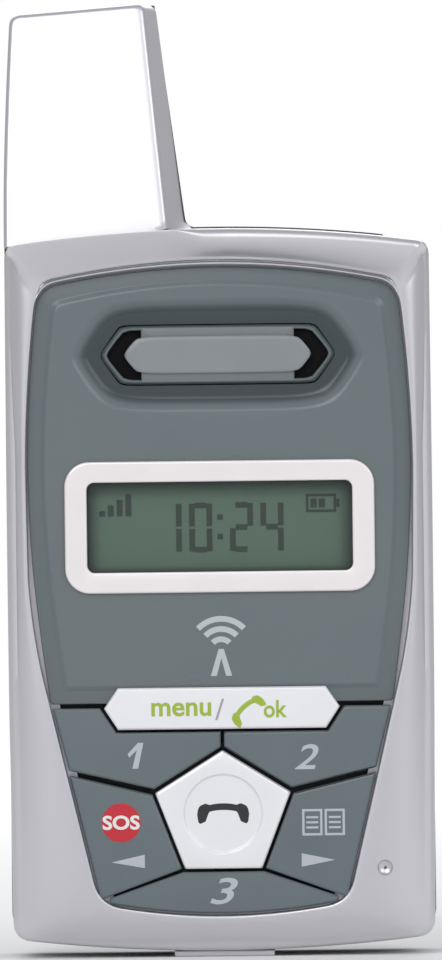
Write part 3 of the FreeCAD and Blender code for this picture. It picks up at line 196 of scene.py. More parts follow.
def piece(name, body, finish, slot_name, *skins, smooth=35, stands_for=()):
    """An object of these skins that rides on a body, with edges sharper than smooth kept."""
    points, faces, start = [], [], 0
    for skin_points, skin_faces in skins:
        points.append(skin_points)
        faces += [[corner + start for corner in face] for face in skin_faces]
        start += len(skin_points)
    mesh = bpy.data.meshes.new(name)
    mesh.from_pydata(np.concatenate(points).tolist(), [], faces)
    return settle(mesh, body, finish, smooth, stands_for)


def settle(mesh, body, finish, smooth=35, stands_for=()):
    """Merges a mesh's doubles, turns its faces outwards and makes it a piece on a body."""
    work = bmesh.new()
    work.from_mesh(mesh)
    bmesh.ops.remove_doubles(work, verts=work.verts, dist=0.002 * MM)
    bmesh.ops.recalc_face_normals(work, faces=work.faces)
    work.to_mesh(mesh)
    work.free()
    mesh.shade_smooth()
    mesh.set_sharp_from_angle(angle=math.radians(smooth))
    mesh.materials.clear()
    mesh.materials.append(finish)
    made = bpy.data.objects.new(mesh.name, mesh)
    bpy.context.scene.collection.objects.link(made)
    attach(made, body)
    if stands_for:
        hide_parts(*stands_for)
    return made


def eased(share):
    """The smooth step 3 t^2 - 2 t^3, held to 0 and 1 outside."""
    share = np.clip(share, 0, 1)
    return share * share * (3 - 2 * share)


opening = outline(mirrored([(13.4, 5.86, 0.0, 2.4), (18.6, 27.8, 0.65, 3.0),
                            (20.75, 47.0, 0.5, 6.0), (19.45, 72.35, 2.15, 2.4)], 1.36))
body_edge = outline(mirrored([(22.75, 2.1, 0.0, 1.9), (22.95, 27.8, 0.0, 3.0),
                              (22.98, 47.0, 0.0, 6.0), (22.9, 76.85, 1.65, 1.4)], 1.45))
TURN_COUNT, SIDE_COUNT = 8, 14
top_share = np.zeros(len(opening))
top_start = 3 * (TURN_COUNT + SIDE_COUNT)
top_end = top_start + TURN_COUNT + SIDE_COUNT
climb = eased(np.linspace(-0.5, 1.5, TURN_COUNT))
top_share[top_start:top_end] = 1
top_share[top_start:top_start + TURN_COUNT] = climb
top_share[top_end:top_end + TURN_COUNT] = climb[::-1]
outward = body_edge - opening
outward /= np.hypot(*outward.T)[:, None]


def case_ring(base, off, side_depth, top_depth):
    """A ring a distance off its base loop, its depth shared between the sides and the top."""
    flat = base + outward * off
    depth = side_depth * (1 - top_share) + top_depth * top_share
    return np.stack([flat[:, 0], depth + 0 * flat[:, 0], flat[:, 1]], -1)


# The brow is fuller and its edge sharper under the antenna, and the lip is wider along the top.
ANTENNA_END, BLEND = -4.4, 1.2
under_antenna = top_share * eased((ANTENNA_END + BLEND - body_edge[:, 0]) / BLEND)
SIDE_LIP, TOP_LIP = 0.3, 0.95
lip = SIDE_LIP + (TOP_LIP - SIDE_LIP) * top_share
# Each step across the lip: share of its width, depth at the sides, depth along the top.
LIP_STEPS = ((0.0, -8.3, -8.2), (0.1, -8.55, -8.5), (0.22, -8.7, -8.66), (0.36, -8.74, -8.66),
             (0.46, -8.76, -8.5), (0.52, -8.77, -8.0), (0.62, -8.78, -8.0), (0.7, -8.78, -8.6),
             (0.84, -8.79, -8.76), (1.0, BEZEL, BEZEL))
case_rings = [case_ring(opening, off, depth, depth) for off, depth in (
    (-1.0, SHELF_BACK), (-1.0, SHELF), (0.0, SHELF))]
case_rings += [case_ring(opening, (lip * part)[:, None], side, top)
               for part, side, top in LIP_STEPS]
EDGE_ROUND, BROW_BULGE, SIDE_FALL = 1.0, 1.9, 2.2
round_off = EDGE_ROUND - 0.85 * under_antenna
bulge = BROW_BULGE - 0.75 * under_antenna
lip_edge = opening + outward * lip[:, None]
rim_edge = body_edge - outward * round_off[:, None]
for share in np.linspace(0, 1, 21)[1:]:
    brow = BEZEL + (CREST - BEZEL) * (1 - (1 - share) ** bulge)
    side = BEZEL + (EDGE - BEZEL) * share ** SIDE_FALL
    ring = case_ring(lip_edge, 0.0, side, brow)
    ring[:, 0::2] = lip_edge + (rim_edge - lip_edge) * share
    case_rings.append(ring)
for angle in np.radians([22, 45, 67, 90]):
    off, fall = (round_off * math.sin(angle))[:, None], round_off * (1 - math.cos(angle))
    case_rings.append(case_ring(rim_edge, off, EDGE + fall, CREST + fall))
case_rings += [case_ring(body_edge, off, depth, depth) for off, depth in (
    (0.0, -3.0), (0.0, JOINT), (-WALL, JOINT), (-WALL, SHELF_BACK))]
TOP_MIDDLE, TOP_FALL, TOP_HALF = 78.5, 1.65, 22.9


def crest_line(x):
    """Height of the top edge, a parabola: middle - fall * (x / half width)^2."""
    return TOP_MIDDLE - TOP_FALL * (x / TOP_HALF) ** 2


SLANT, FOOT_LAP, ROOT_X = 0.189, 0.1, -3.0
TIP_LEFT, TIP_RIGHT = (-21.45, 101.85), (-6.35, 103.0)
WALL_X, WALL_Z, WALL_LEAN = -6.25, 102.4, 0.1217
FLARE, FLARE_LEAN = 1.75, 0.6
LEFT_X, LEFT_LEAN = -22.86, 0.85
ANTENNA_LOW, ANTENNA_HEIGHT = 79, 24
FILLET = 1.3
fillet_z = crest_line(ROOT_X) + FILLET


def right_wall(z):
    """The antenna's right side at the joint: a straight line that leans in up to the tip, and how
    far a quarter circle of the fillet's radius turns its foot out into the top edge."""
    drop = np.clip(fillet_z - z, 0, FILLET)
    return WALL_X + WALL_LEAN * (WALL_Z - z), FILLET - np.sqrt(FILLET ** 2 - drop ** 2)


def antenna_ring(inset, draft, depth, along=24, turn=9):
    """The antenna block's outline, inset all round, with its right side drafted inwards and its
    lower side along the top edge of the case. depth gives the y of each point."""
    low, high = crest_line(ROOT_X) + 0.02, TIP_RIGHT[1] - 1.0 - inset
    right_z = np.linspace(low, high, along)
    strip = FLARE - FLARE_LEAN * (right_z - ANTENNA_LOW) / ANTENNA_HEIGHT
    wall, fillet = right_wall(right_z)
    right = np.stack([wall + fillet * (1 - draft) - inset - draft * strip, right_z], -1)
    left_z = np.linspace(TIP_LEFT[1] - 1.3 - inset, crest_line(-22.8) - FOOT_LAP, along)
    left_x = LEFT_X + LEFT_LEAN * np.clip((left_z - 80) / 22, 0, 1) ** 1.6 + inset
    left = np.stack([left_x, left_z], -1)
    fall = (TIP_RIGHT[1] - TIP_LEFT[1]) / (TIP_RIGHT[0] - TIP_LEFT[0])
    top_x = np.linspace(right[-1, 0] - 0.9, left[0, 0] + 1.2, along)
    top = np.stack([top_x, TIP_RIGHT[1] + (top_x - TIP_RIGHT[0]) * fall - inset], -1)
    t = np.linspace(0, 1, turn)[1:-1, None]
    turns = []
    for start, end, corner in ((right[-1], top[0], (right[-1, 0] - 0.1, top[0, 1] + 0.05)),
                               (top[-1], left[0], (left[0, 0] + 0.05, top[-1, 1] - 0.05))):
        turns.append((1 - t) ** 2 * start + 2 * t * (1 - t) * np.array(corner) + t ** 2 * end)
    foot_x = np.linspace(left[-1, 0], right[0, 0], along)[1:-1]
    foot = np.stack([foot_x, crest_line(foot_x) - FOOT_LAP], -1)
    flat = np.concatenate([right, turns[0], top, turns[1], left, foot])
    return np.stack([flat[:, 0], depth(flat[:, 0], flat[:, 1]), flat[:, 1]], -1)


def face_depth(x, z):
    """The antenna's slanting face: level with the crest along it, and further back above."""
    return CREST + 0.01 + SLANT * np.maximum(z - crest_line(x), 0)


LINE_LOW, LINE_HIGH, ANTENNA_MIDDLE, LINE_SHARE = 80, 99, 89.6, 0.35


def shrunk(ring, share, depth):
    """A ring drawn in towards a short upright line in its middle: line + (ring - line) * share,
    laid on the surface that depth gives."""
    height = np.clip(ring[:, 2], LINE_LOW, LINE_HIGH)
    line_z = ANTENNA_MIDDLE + LINE_SHARE * (height - ANTENNA_MIDDLE)
    line = np.stack([ring[:, 0].mean() + 0 * height, 0 * height, line_z], -1)
    flat = line + (ring - line) * share
    return np.stack([flat[:, 0], depth(flat[:, 0], flat[:, 2]), flat[:, 2]], -1)


FACE_ROUND, ANTENNA_WALL, FACE_WALL = 0.55, 1.2, 1.5


def inner_face(x, z):
    """The back of the slanting face, one face wall behind it."""
    return face_depth(x, z) + FACE_WALL


antenna_rings = []
face_edge = antenna_ring(FACE_ROUND, 1.0, face_depth)
antenna_rings += [shrunk(face_edge, share, face_depth) for share in np.linspace(0.05, 0.95, 7)]
for angle in np.radians([0, 18, 36, 54, 72, 90]):
    inset = FACE_ROUND * (1 - math.sin(angle))
    back = FACE_ROUND * (1 - math.cos(angle))
    antenna_rings.append(antenna_ring(inset, 1.0, lambda x, z: face_depth(x, z) + back))
for share in (0.25, 0.5, 0.75, 1.0):
    antenna_rings.append(antenna_ring(0.0, 1.0 - share, lambda x, z: (
        (face_depth(x, z) + FACE_ROUND) * (1 - share) + JOINT * share)))
antenna_rings.append(antenna_ring(ANTENNA_WALL, 0.0, lambda x, z: JOINT + 0 * x))
inner_edge = antenna_ring(ANTENNA_WALL, 1.0, inner_face)
antenna_rings += [inner_edge, shrunk(inner_edge, 0.05, inner_face)]
silver = silver_paint()
front_case = piece("front_case", "handset", silver, "silver_paint",
                   skin(case_rings, closed=True), skin(antenna_rings), smooth=40,
                   stands_for=["front_housing"])

# ---------------------------------------------------------------- microphone hole
# A small dish in the lower right of the silver bezel, with the microphone's bore in its middle.
# It is moulded into the front shell and painted with it.
MIC_X, MIC_Z, DISH, BORE = 17.4, 9.45, 0.85, 0.17


def turned(profile, x, z, around=40):
    """A profile of (radius, y) rows turned about an axis along y through x, z."""
    angle = np.linspace(0, 2 * math.pi, around, endpoint=False)
    radius, depth = np.array(profile, float).T
    return np.stack([x + radius[:, None] * np.cos(angle), depth[:, None] + 0 * angle,
                     z + radius[:, None] * np.sin(angle)], -1)


def cut_out(made, rings, smooth=35):
    """Takes the solid through these rings out of a piece's mesh for good."""
    points, faces = skin(rings)
    mesh = bpy.data.meshes.new("cutter")
    mesh.from_pydata(points.tolist(), [], faces)
    work = bmesh.new()
    work.from_mesh(mesh)
    bmesh.ops.recalc_face_normals(work, faces=work.faces)
    work.to_mesh(mesh)
    work.free()
    cutter = bpy.data.objects.new("cutter", mesh)
    bpy.context.scene.collection.objects.link(cutter)
    carve = made.modifiers.new("carve", "BOOLEAN")
    carve.operation, carve.solver, carve.object = "DIFFERENCE", "EXACT", cutter
    bpy.context.view_layer.update()
    carved = made.evaluated_get(bpy.context.evaluated_depsgraph_get())
    made.data = bpy.data.meshes.new_from_object(carved)
    made.modifiers.clear()
    bpy.data.objects.remove(cutter)
    made.data.shade_smooth()
    made.data.set_sharp_from_angle(angle=math.radians(smooth))


case_points = np.concatenate(case_rings)
facing = case_points[case_points[:, 1] < EDGE + 0.2]
nearest = np.hypot(facing[:, 0] - MIC_X, facing[:, 2] - MIC_Z).argmin()
mic_y = facing[nearest, 1]
bowl = [(DISH * math.sin(turn), mic_y + 0.5 * math.cos(turn)) for turn in
        np.linspace(math.pi / 2, 0.2, 8)]
bore_end = (BORE, mic_y + 2.2)
cut_out(front_case, turned([(DISH, mic_y - 0.5)] + bowl + [bore_end], MIC_X, MIC_Z), 40)

# ---------------------------------------------------------------- rear case, pack and latch
# The back of the case, the battery pack's cover and its latch are charcoal plastic with a fine
# spark-eroded grain. The rear case closes on the front one along the joint, and its top edge
# stands a little proud of it. The pack slides in from behind, below the latch's button.


def finished(name, body, finish, width=0.15, sharp=30, steps=3):
    """Stands for a CAD node with a copy of it: its triangles merged into faces, and its edges
    sharper than this angle rounded off, width millimetres wide."""
    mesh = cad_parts[name].data.copy()
    mesh.name = name + "_finish"
    work = bmesh.new()
    work.from_mesh(mesh)
    bmesh.ops.remove_doubles(work, verts=work.verts, dist=0.0005 * MM)
    bmesh.ops.dissolve_limit(work, angle_limit=math.radians(1.0), verts=work.verts,
                             edges=work.edges)
    work.to_mesh(mesh)
    work.free()
    made = settle(mesh, body, finish, 180, [name])
    bevel = made.modifiers.new("rounded", "BEVEL")
    bevel.width = width * MM
    bevel.segments = steps
    bevel.limit_method = "ANGLE"
    bevel.angle_limit = math.radians(sharp)
    bevel.harden_normals = True
    bevel.use_clamp_overlap = True


def charcoal_case():
    plastic = Finish("charcoal_case")
    grain = plastic.noise(0.22, 3.0)
    wear = plastic.noise(11.0)
    return plastic.looks(
        Base_Color=plastic.mix(wear, (0.045, 0.047, 0.052), (0.062, 0.064, 0.07)),
        Roughness=0.48 + 0.16 * grain, Normal=plastic.relief(grain, 0.02))


charcoal = charcoal_case()
finished("rear_housing", "handset", charcoal, 0.2)
finished("pack_cover", "battery_pack", charcoal, 0.2)
finished("pack_tray", "battery_pack", charcoal, 0.1)
finished("latch_button", "latch", charcoal, 0.15)
finished("test_port_plug", "handset", charcoal, 0.12)
RIM_START, RIM_END, RIM_DEPTH = 86.0, 18.4, 0.8
LOW_PROUD, TOP_PROUD = 0.12, 0.41
rise_z = np.linspace(RIM_START, fillet_z, 16)
wall_x = right_wall(rise_z)[0]
arc = np.linspace(math.pi, 1.5 * math.pi, 12)[1:-1]
centre_x = wall_x[-1] + FILLET
top_x = np.linspace(centre_x, RIM_END, 50)
rim_path = np.concatenate([
    np.stack([wall_x, rise_z], -1),
    np.stack([centre_x + FILLET * np.cos(arc), fillet_z + FILLET * np.sin(arc)], -1),
    np.stack([top_x, crest_line(top_x)], -1)])
run = np.gradient(rim_path, axis=0)
facing_out = np.stack([-run[:, 1], run[:, 0]], -1) / np.hypot(*run.T)[:, None]
way = np.linspace(0, 1, len(rim_path))
proud = LOW_PROUD * eased(way / 0.1) + (TOP_PROUD - LOW_PROUD) * eased((way - 0.15) / 0.2)
proud *= eased((1 - way) / 0.015)
rim_rings = []
inner = 0 * proud - RIM_DEPTH
for off, y in ((inner, 1.05), (proud, 1.05), (proud, 2.6), (inner, 2.6)):
    flat = rim_path + facing_out * off[:, None]
    rim_rings.append(np.stack([flat[:, 0], y + 0 * off, flat[:, 1]], -1))
piece("rear_top_rim", "handset", charcoal, "charcoal_case",
      skin(np.swapaxes(np.array(rim_rings), 0, 1)))

# ---------------------------------------------------------------- dock surround
# The surround of the dock socket stands a little below the case and is its foot. It is moulded
# in pale plastic and painted with the case, with the socket's contacts inside it.
finished("connector_shroud", "handset", silver, 0.12)

# ---------------------------------------------------------------- faceplate
# One moulding of smoke-tinted acrylic over the display and the earpiece, glossy in front. A
# rim steps down all round it, a little darker from painted shade, and a soft six-sided
# hollow leads into the earpiece slot, which painted shade darkens towards its floor.


def smoke_panel():
    """The tinted acrylic, with painted shade that darkens it from the rim's depth to the hollow's
    floor.
    """
    acrylic = Finish("smoke_panel")
    haze = acrylic.noise(18.0)
    orange_peel = acrylic.noise(1.6, 1.0)
    depth = acrylic.node("ShaderNodeSeparateXYZ", {}, {0: acrylic.place}, output="Y")
    # painted shade: the deeper the acrylic lies, the more it is mixed towards a near-black tint, a
    # little on the rim and fully in the hollow
    recess_shade = ((depth / MM + 7.8) / 0.5).limited()
    colour = acrylic.mix(haze, (0.126, 0.155, 0.164), (0.148, 0.176, 0.184))
    return acrylic.looks(
        # the near-black tint is the painted shade of the recesses
        Base_Color=acrylic.mix(recess_shade, colour, (0.042, 0.058, 0.063)),
        Roughness=0.24 + 0.08 * haze, Normal=acrylic.relief(orange_peel, 0.002))


PLATE_BACK, PLATE_RIM, PANEL_Y, HOLLOW_Y = -6.62, -7.75, -8.2, -7.2
PLATE_GAP, PANEL_INSET = 0.12, 2.3
SEAM_Z, SPEAKER_Z = 27.3, 64.95


def six_sided(angle, tip, flat, half_height, softness):
    """How far a six-sided outline is from its middle at each angle: the nearer of its flat side,
    half_height / |sin|, and its slanting side, blended by a power mean of this softness."""
    sine, cosine = np.sqrt(np.sin(angle) ** 2 + 0.0004 * softness), np.abs(np.cos(angle))
    level = half_height / sine
    slanting = tip * half_height / (half_height * cosine + (tip - flat) * sine)
    power = 60.0 / softness
    return (level ** -power + slanting ** -power) ** (-1 / power)


def upright(loop, depth):
    """Rows of (x, z) stood up at y = depth."""
    return np.stack([loop[:, 0], depth + 0 * loop[:, 0], loop[:, 1]], -1)


def plate_loop(inset):
    """The faceplate's outline, inset all round: the opening's upper part above the seam."""
    seam_x = 18.55 - inset
    return outline(mirrored([(seam_x, SEAM_Z + inset, 0.2, 0.3),
                             (20.75 - inset, 47.0, 0.5, 6.0),
                             (19.45 - inset, 72.35 - inset, 2.15, max(2.4 - inset, 0.9))], 0.0),
                   22, 8)


plate_edge = plate_loop(PLATE_GAP)
middle = np.array([0.0, SPEAKER_Z])
bearing = np.arctan2(*(plate_edge - middle).T[::-1])
spokes = np.stack([np.cos(bearing), np.sin(bearing)], -1)


HOLLOW_TIP, HOLLOW_FLAT, HOLLOW_HALF = 16.6, 12.4, 6.25


def hollow_loop(share):
    """A step of the soft hollow: its outer edge at share 0 and its floor at share 1."""
    radius = six_sided(bearing, HOLLOW_TIP - 2.9 * share, HOLLOW_FLAT - 1.7 * share,
                       HOLLOW_HALF - 2.4 * share, 7.0)
    return middle + spokes * radius[:, None]


plate_rings = [upright(plate_loop(inset), depth) for inset, depth in (
    (1.2, PLATE_BACK), (PLATE_GAP, PLATE_BACK), (PLATE_GAP, PLATE_RIM + 0.12),
    (0.16, PLATE_RIM + 0.03), (0.26, PLATE_RIM), (1.5, PLATE_RIM), (1.62, PLATE_RIM - 0.03),
    (1.95, PANEL_Y + 0.06), (2.1, PANEL_Y + 0.01), (PANEL_INSET, PANEL_Y))]
panel_edge, hollow_edge = plate_loop(PANEL_INSET), hollow_loop(0.0)
plate_rings += [upright(panel_edge + (hollow_edge - panel_edge) * share, PANEL_Y)
                for share in (0.15, 0.4, 0.65, 0.88, 1.0)]
plate_rings += [upright(hollow_loop(share), PANEL_Y + (HOLLOW_Y - PANEL_Y) * eased(1.35 * share))
                for share in np.linspace(0, 1, 13)[1:]]
slot = middle + spokes * six_sided(bearing, 12.9, 10.5, 3.3, 2.0)[:, None]
plate_rings += [upright(slot, HOLLOW_Y), upright(slot, PLATE_BACK)]
smoke = smoke_panel()
plate = piece("faceplate_panel", "handset", smoke, "smoke_panel", skin(plate_rings, closed=True),
              smooth=50, stands_for=["faceplate"])
LENS_X, LENS_LOW, LENS_HIGH = 14.95, 40.9, 51.9
lens_hole = outline([(LENS_X, LENS_LOW, 0, 0.5), (LENS_X, LENS_HIGH, 0, 0.5),
                     (-LENS_X, LENS_HIGH, 0, 0.5), (-LENS_X, LENS_LOW, 0, 0.5)], 2, 4)
cut_out(plate, [upright(lens_hole, -9.0), upright(lens_hole, -6.0)], 50)

# ---------------------------------------------------------------- earpiece
# A pale smoke bar with pointed ends crosses the six-sided earpiece slot on a wider ledge. The
# sound comes out of a black chevron at each end, where a fine black mesh lies behind.


def black_trim():
    trim = Finish("black_trim")
    weave = trim.noise(0.25)
    return trim.looks(Base_Color=trim.mix(weave, (0.002, 0.002, 0.0025), (0.007, 0.007, 0.008)),
                      Roughness=0.7 + 0.2 * weave, Specular_IOR_Level=0.12,
                      Normal=trim.relief(weave, 0.02))


def bar_acrylic(name, dark, light):
    """Smoke-tinted acrylic whose haze runs from the dark tint to the light one."""
    acrylic = Finish(name)
    haze = acrylic.noise(6.0)
    return acrylic.looks(Base_Color=acrylic.mix(haze, dark, light),
                         Roughness=0.26 + 0.06 * haze)


black = black_trim()
pale_smoke = bar_acrylic("bar_acrylic", (0.225, 0.243, 0.26), (0.26, 0.278, 0.295))
ledge_smoke = bar_acrylic("ledge_acrylic", (0.145, 0.165, 0.175), (0.17, 0.19, 0.2))
slot_bearing = np.linspace(0, 2 * math.pi, 160, endpoint=False)
slot_spokes = np.stack([np.cos(slot_bearing), np.sin(slot_bearing)], -1)


def slot_rings(steps, softness):
    """Rings of six-sided loops about the earpiece's middle; a step is (tip, flat, half height,
    depth)."""
    return [upright(middle + slot_spokes * six_sided(slot_bearing, tip, flat, high,
                                                     softness)[:, None], depth)
            for tip, flat, high, depth in steps]


def ledge_rings(half_x, half_z, corner, front, back, edge):
    """A rounded block from back to front whose front edge is rounded off by edge."""
    rings = []
    for inset, depth in ((0, back), (0, front + edge), (0.3 * edge, front + 0.3 * edge),
                         (edge, front), (edge + 0.5 * half_z, front)):
        x, z, turn = half_x - inset, half_z - inset, max(corner - inset, 0.02)
        loop = outline([(x, -z, 0, turn), (x, z, 0, turn), (-x, z, 0, turn), (-x, -z, 0, turn)],
                       6, 6)
        rings.append(upright(loop + middle, depth))
    return rings


piece("earpiece_surround", "handset", smoke, "smoke_panel",
      skin(slot_rings([(12.2, 10.0, 2.68, -6.75), (12.2, 10.0, 2.68, -7.55),
                       (12.28, 10.05, 2.75, -7.66), (12.5, 10.2, 2.95, -7.66),
                       (12.85, 10.4, 3.2, -7.3), (12.85, 10.4, 3.2, -6.75)], 2.0),
           closed=True))
bar = slot_rings([(10.4, 8.6, 2.02, -7.2), (10.4, 8.6, 2.02, -7.9), (10.33, 8.55, 1.97, -8.0),
                  (10.15, 8.4, 1.83, -8.07), (9.7, 8.1, 1.5, -8.1), (5.0, 4.0, 0.5, -8.12)], 4.0)
piece("earpiece_bridge", "handset", pale_smoke, "smoke_panel", skin(bar), smooth=60,
      stands_for=["earpiece_bar"])
piece("earpiece_ledge", "handset", ledge_smoke, "smoke_panel",
      skin(ledge_rings(8.25, 3.0, 0.25, -7.72, -6.9, 0.2)), smooth=60)
piece("earpiece_dark", "handset", black, "black_trim",
      skin(slot_rings([(12.5, 10.2, 3.0, -6.95), (12.5, 10.2, 3.0, -7.05)], 2.0)))


def dress(finish, *names):
    """Gives CAD nodes whose shape is right their material."""
    for name in names:
        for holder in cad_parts[name].material_slots:
            holder.material = finish


dress(black, "earpiece_mesh")

# ---------------------------------------------------------------- display
# A pearl-painted frame holds a clear window over a green character display with dark segments.
# The frame is glued to the faceplate, and the glass lies in a black frame on the board.


def pearl(name, dark, light):
    paint = Finish(name)
    shimmer = paint.noise(0.14, 1.0)
    cloud = paint.noise(5.0)
    return paint.looks(Base_Color=paint.mix(cloud, dark, light), Metallic=0.35,
                       Roughness=0.28 + 0.1 * shimmer, Normal=paint.relief(shimmer, 0.002))


def clear_window():
    window = Finish("clear_window")
    smear = window.noise(4.0)
    window.material.surface_render_method = "BLENDED"
    return window.looks(Base_Color=(0.2, 0.23, 0.22), Roughness=0.06 + 0.05 * smear, Alpha=0.06)


WINDOW_X, WINDOW_LOW, WINDOW_HIGH = 14.3, 41.55, 51.25


def lcd_glass():
    """The display's green, darker near the window's edge, where the frame shades it: a product of
    ramps in from the sides, down from the top and up from the foot, to the power 0.7."""
    glass = Finish("lcd_glass")
    grain = glass.noise(0.12)
    across = glass.node("ShaderNodeSeparateXYZ", {}, {0: glass.place}, output="X")
    up = glass.node("ShaderNodeSeparateXYZ", {}, {0: glass.place}, output="Z")
    from_side = WINDOW_X - abs(across / MM)
    from_top = WINDOW_HIGH - up / MM
    from_foot = up / MM - WINDOW_LOW
    shade = (from_side / 1.6).limited() * (from_top / 1.9).limited() * (from_foot / 0.7).limited()
    green = glass.mix(grain, (0.084, 0.146, 0.106), (0.090, 0.154, 0.113))
    return glass.looks(Base_Color=glass.mix(shade ** 0.7, (0.012, 0.022, 0.016), green),
                       Roughness=0.35 + 0.1 * grain)


pearl_frame = pearl("pearl_bezel", (0.86, 0.82, 0.82), (0.92, 0.88, 0.88))
finished("display_bezel", "handset", pearl_frame, 0.18, 25, 4)
dress(clear_window(), "display_lens")
dress(lcd_glass(), "lcd_panel")

# ---------------------------------------------------------------- display segments
# What the display shows: a clock, signal bars and a battery, as dark segments of liquid crystal
# that lie on the glass.
GLASS_Y = -6.57


def segment_ink():
    ink = Finish("segment_ink")
    grain = ink.noise(0.4)
    return ink.looks(Base_Color=ink.mix(grain, (0.010, 0.022, 0.017), (0.018, 0.034, 0.026)),
                     Roughness=0.5 + 0.1 * grain)


def flat_shape(name, outlines, front, thickness, body, finish, slot_name):
    """Thin plates with these (x, z) outlines in millimetres, their front faces at y = front."""
    plates = [skin([upright(np.asarray(rows, float), depth)
                    for depth in (front, front + thickness)]) for rows in outlines]
    return piece(name, body, finish, slot_name, *plates, smooth=20)


def frame_bars(left, right, low, high, width):
    """The four bars of a rectangle's outline, as outlines of their own."""
    return [box_loop(left, right, low, low + width), box_loop(left, right, high - width, high),
            box_loop(left, left + width, low + width, high - width),
            box_loop(right - width, right, low + width, high - width)]


def box_loop(left, right, low, high):
    return [(left, low), (right, low), (right, high), (left, high)]


LIT = {"0": "abcdef", "1": "bc", "2": "abdeg", "4": "bcfg"}
BAR_GAP = 0.12


def digit(character, x, z, width, height, bar):
    """The lit bars of a seven-segment figure: a top, b c right, d foot, e f left, g middle."""
    middle = z + height / 2
    places = {
        "a": (x + bar, x + width - bar, z + height - bar, z + height),
        "b": (x + width - bar, x + width, middle + BAR_GAP, z + height - BAR_GAP),
        "c": (x + width - bar, x + width, z + BAR_GAP, middle - BAR_GAP),
        "d": (x + bar, x + width - bar, z, z + bar),
        "e": (x, x + bar, z + BAR_GAP, middle - BAR_GAP),
        "f": (x, x + bar, middle + BAR_GAP, z + height - BAR_GAP),
        "g": (x + bar, x + width - bar, middle - bar / 2, middle + bar / 2)}
    return [box_loop(*places[key]) for key in LIT[character]]


DIGIT_LOW, DIGIT_WIDTH, DIGIT_HEIGHT, DIGIT_BAR = 43.6, 2.5, 5.4, 0.62
segments = []
for character, x in zip("1024", (-6.6, -3.3, 1.1, 4.4)):
    segments += digit(character, x, DIGIT_LOW, DIGIT_WIDTH, DIGIT_HEIGHT, DIGIT_BAR)
segments += [box_loop(-0.25, 0.35, z, z + 0.6) for z in (45.0, 47.1)]
for step in range(4):
    left = -13.0 + 0.95 * step
    segments.append(box_loop(left, left + 0.65, 47.6, 48.2 + 0.6 * step))
segments += frame_bars(9.3, 12.6, 47.8, 49.8, 0.3)
segments += [box_loop(12.6, 12.95, 48.35, 49.25), box_loop(9.8, 10.5, 48.3, 49.3),
             box_loop(10.7, 11.4, 48.3, 49.3)]
ink = segment_ink()
flat_shape("display_segments", segments, GLASS_Y - 0.02, 0.02, "handset", ink, "lcd_glass")

# ---------------------------------------------------------------- printed mark
# A mast with waves above it is printed in pale grey on the faceplate, below the display.


def pale_print(name, colour):
    printed = Finish(name)
    speckle = printed.noise(0.2)
    shade = tuple(0.86 * part for part in colour)
    return printed.looks(Base_Color=printed.mix(speckle, shade, colour),
                         Roughness=0.42 + 0.12 * speckle)


def wave(x, z, radius, width, spread, count=24):
    """A band round (x, z): out along its outer arc and back along the inner one."""
    angle = np.linspace(math.pi / 2 - spread, math.pi / 2 + spread, count)
    outer = np.stack([x + (radius + width / 2) * np.cos(angle),
                      z + (radius + width / 2) * np.sin(angle)], -1)
    inner = np.stack([x + (radius - width / 2) * np.cos(angle),
                      z + (radius - width / 2) * np.sin(angle)], -1)
    return np.concatenate([outer, inner[::-1]])


pale = pale_print("pale_print", (0.52, 0.56, 0.56))
mast = [(-0.28, 33.2), (0.28, 33.2), (1.15, 30.3), (0.5, 30.3), (0.0, 32.2), (-0.5, 30.3),
        (-1.15, 30.3)]
flat_shape("printed_mark", [mast] + [wave(0.0, 33.0, radius, 0.62, 0.8)
                                     for radius in (1.25, 2.35, 3.45)],
           PANEL_Y - 0.02, 0.04, "handset", pale, "smoke_panel")

# ---------------------------------------------------------------- keys
# Seven keys of a faceted keypad stand in the lower opening. The menu and end keys are pearl
# silver, and the five round them are smoke-grey plastic. Each presses its own dome.


def grey_key_plastic():
    plastic = Finish("grey_key")
    haze = plastic.noise(9.0)
    skin_grain = plastic.noise(0.5)
    return plastic.looks(
        Base_Color=plastic.mix(haze, (0.118, 0.148, 0.160), (0.142, 0.172, 0.184)),
        Roughness=0.3 + 0.08 * skin_grain, Normal=plastic.relief(skin_grain, 0.004))


grey_plastic = grey_key_plastic()
silver_key = pearl("silver_key", (0.84, 0.84, 0.87), (0.92, 0.92, 0.94))
for name in ("key_one", "key_two", "key_three", "sos_key", "book_key"):
    finished(name, name, grey_plastic, 0.26, 25)
for name in ("menu_key", "end_key"):
    finished(name, name, silver_key, 0.35, 25, 4)

# ---------------------------------------------------------------- key legends
# The legends are printed on the keys: green words and a lifted receiver on the menu key, a black
# receiver on the end key, pale figures, arrows and a book on the grey ones, and a red disc.
GREY_FACE, SILVER_FACE, DISH_FLOOR = -8.35, -8.75, -8.45


def word(name, text, box, front, body, finish, slant=0.0, weight=0.0):
    """Printed text as a mesh that stands upright at y = front and fills its (left, right, low,
    high) box: each coordinate is scaled and moved so that its ends meet the box's."""
    curve = bpy.data.curves.new(name, "FONT")
    curve.body = text
    curve.shear = slant
    curve.offset = weight
    curve.extrude = 0.015 * MM
    curve.resolution_u = 5
    holder = bpy.data.objects.new(name + "_curve", curve)
    bpy.context.scene.collection.objects.link(holder)
    bpy.context.view_layer.update()
    shape = holder.evaluated_get(bpy.context.evaluated_depsgraph_get())
    mesh = bpy.data.meshes.new_from_object(shape)
    mesh.name = name
    bpy.data.objects.remove(holder)
    points = np.zeros(len(mesh.vertices) * 3)
    mesh.vertices.foreach_get("co", points)
    x, z, out = points.reshape(-1, 3).T
    left, right, low, high = box
    x = (left + (x - x.min()) / np.ptp(x) * (right - left)) * MM
    z = (low + (z - z.min()) / np.ptp(z) * (high - low)) * MM
    mesh.vertices.foreach_set("co", np.stack([x, front * MM - out, z], -1).ravel())
    settle(mesh, body, finish, 20)


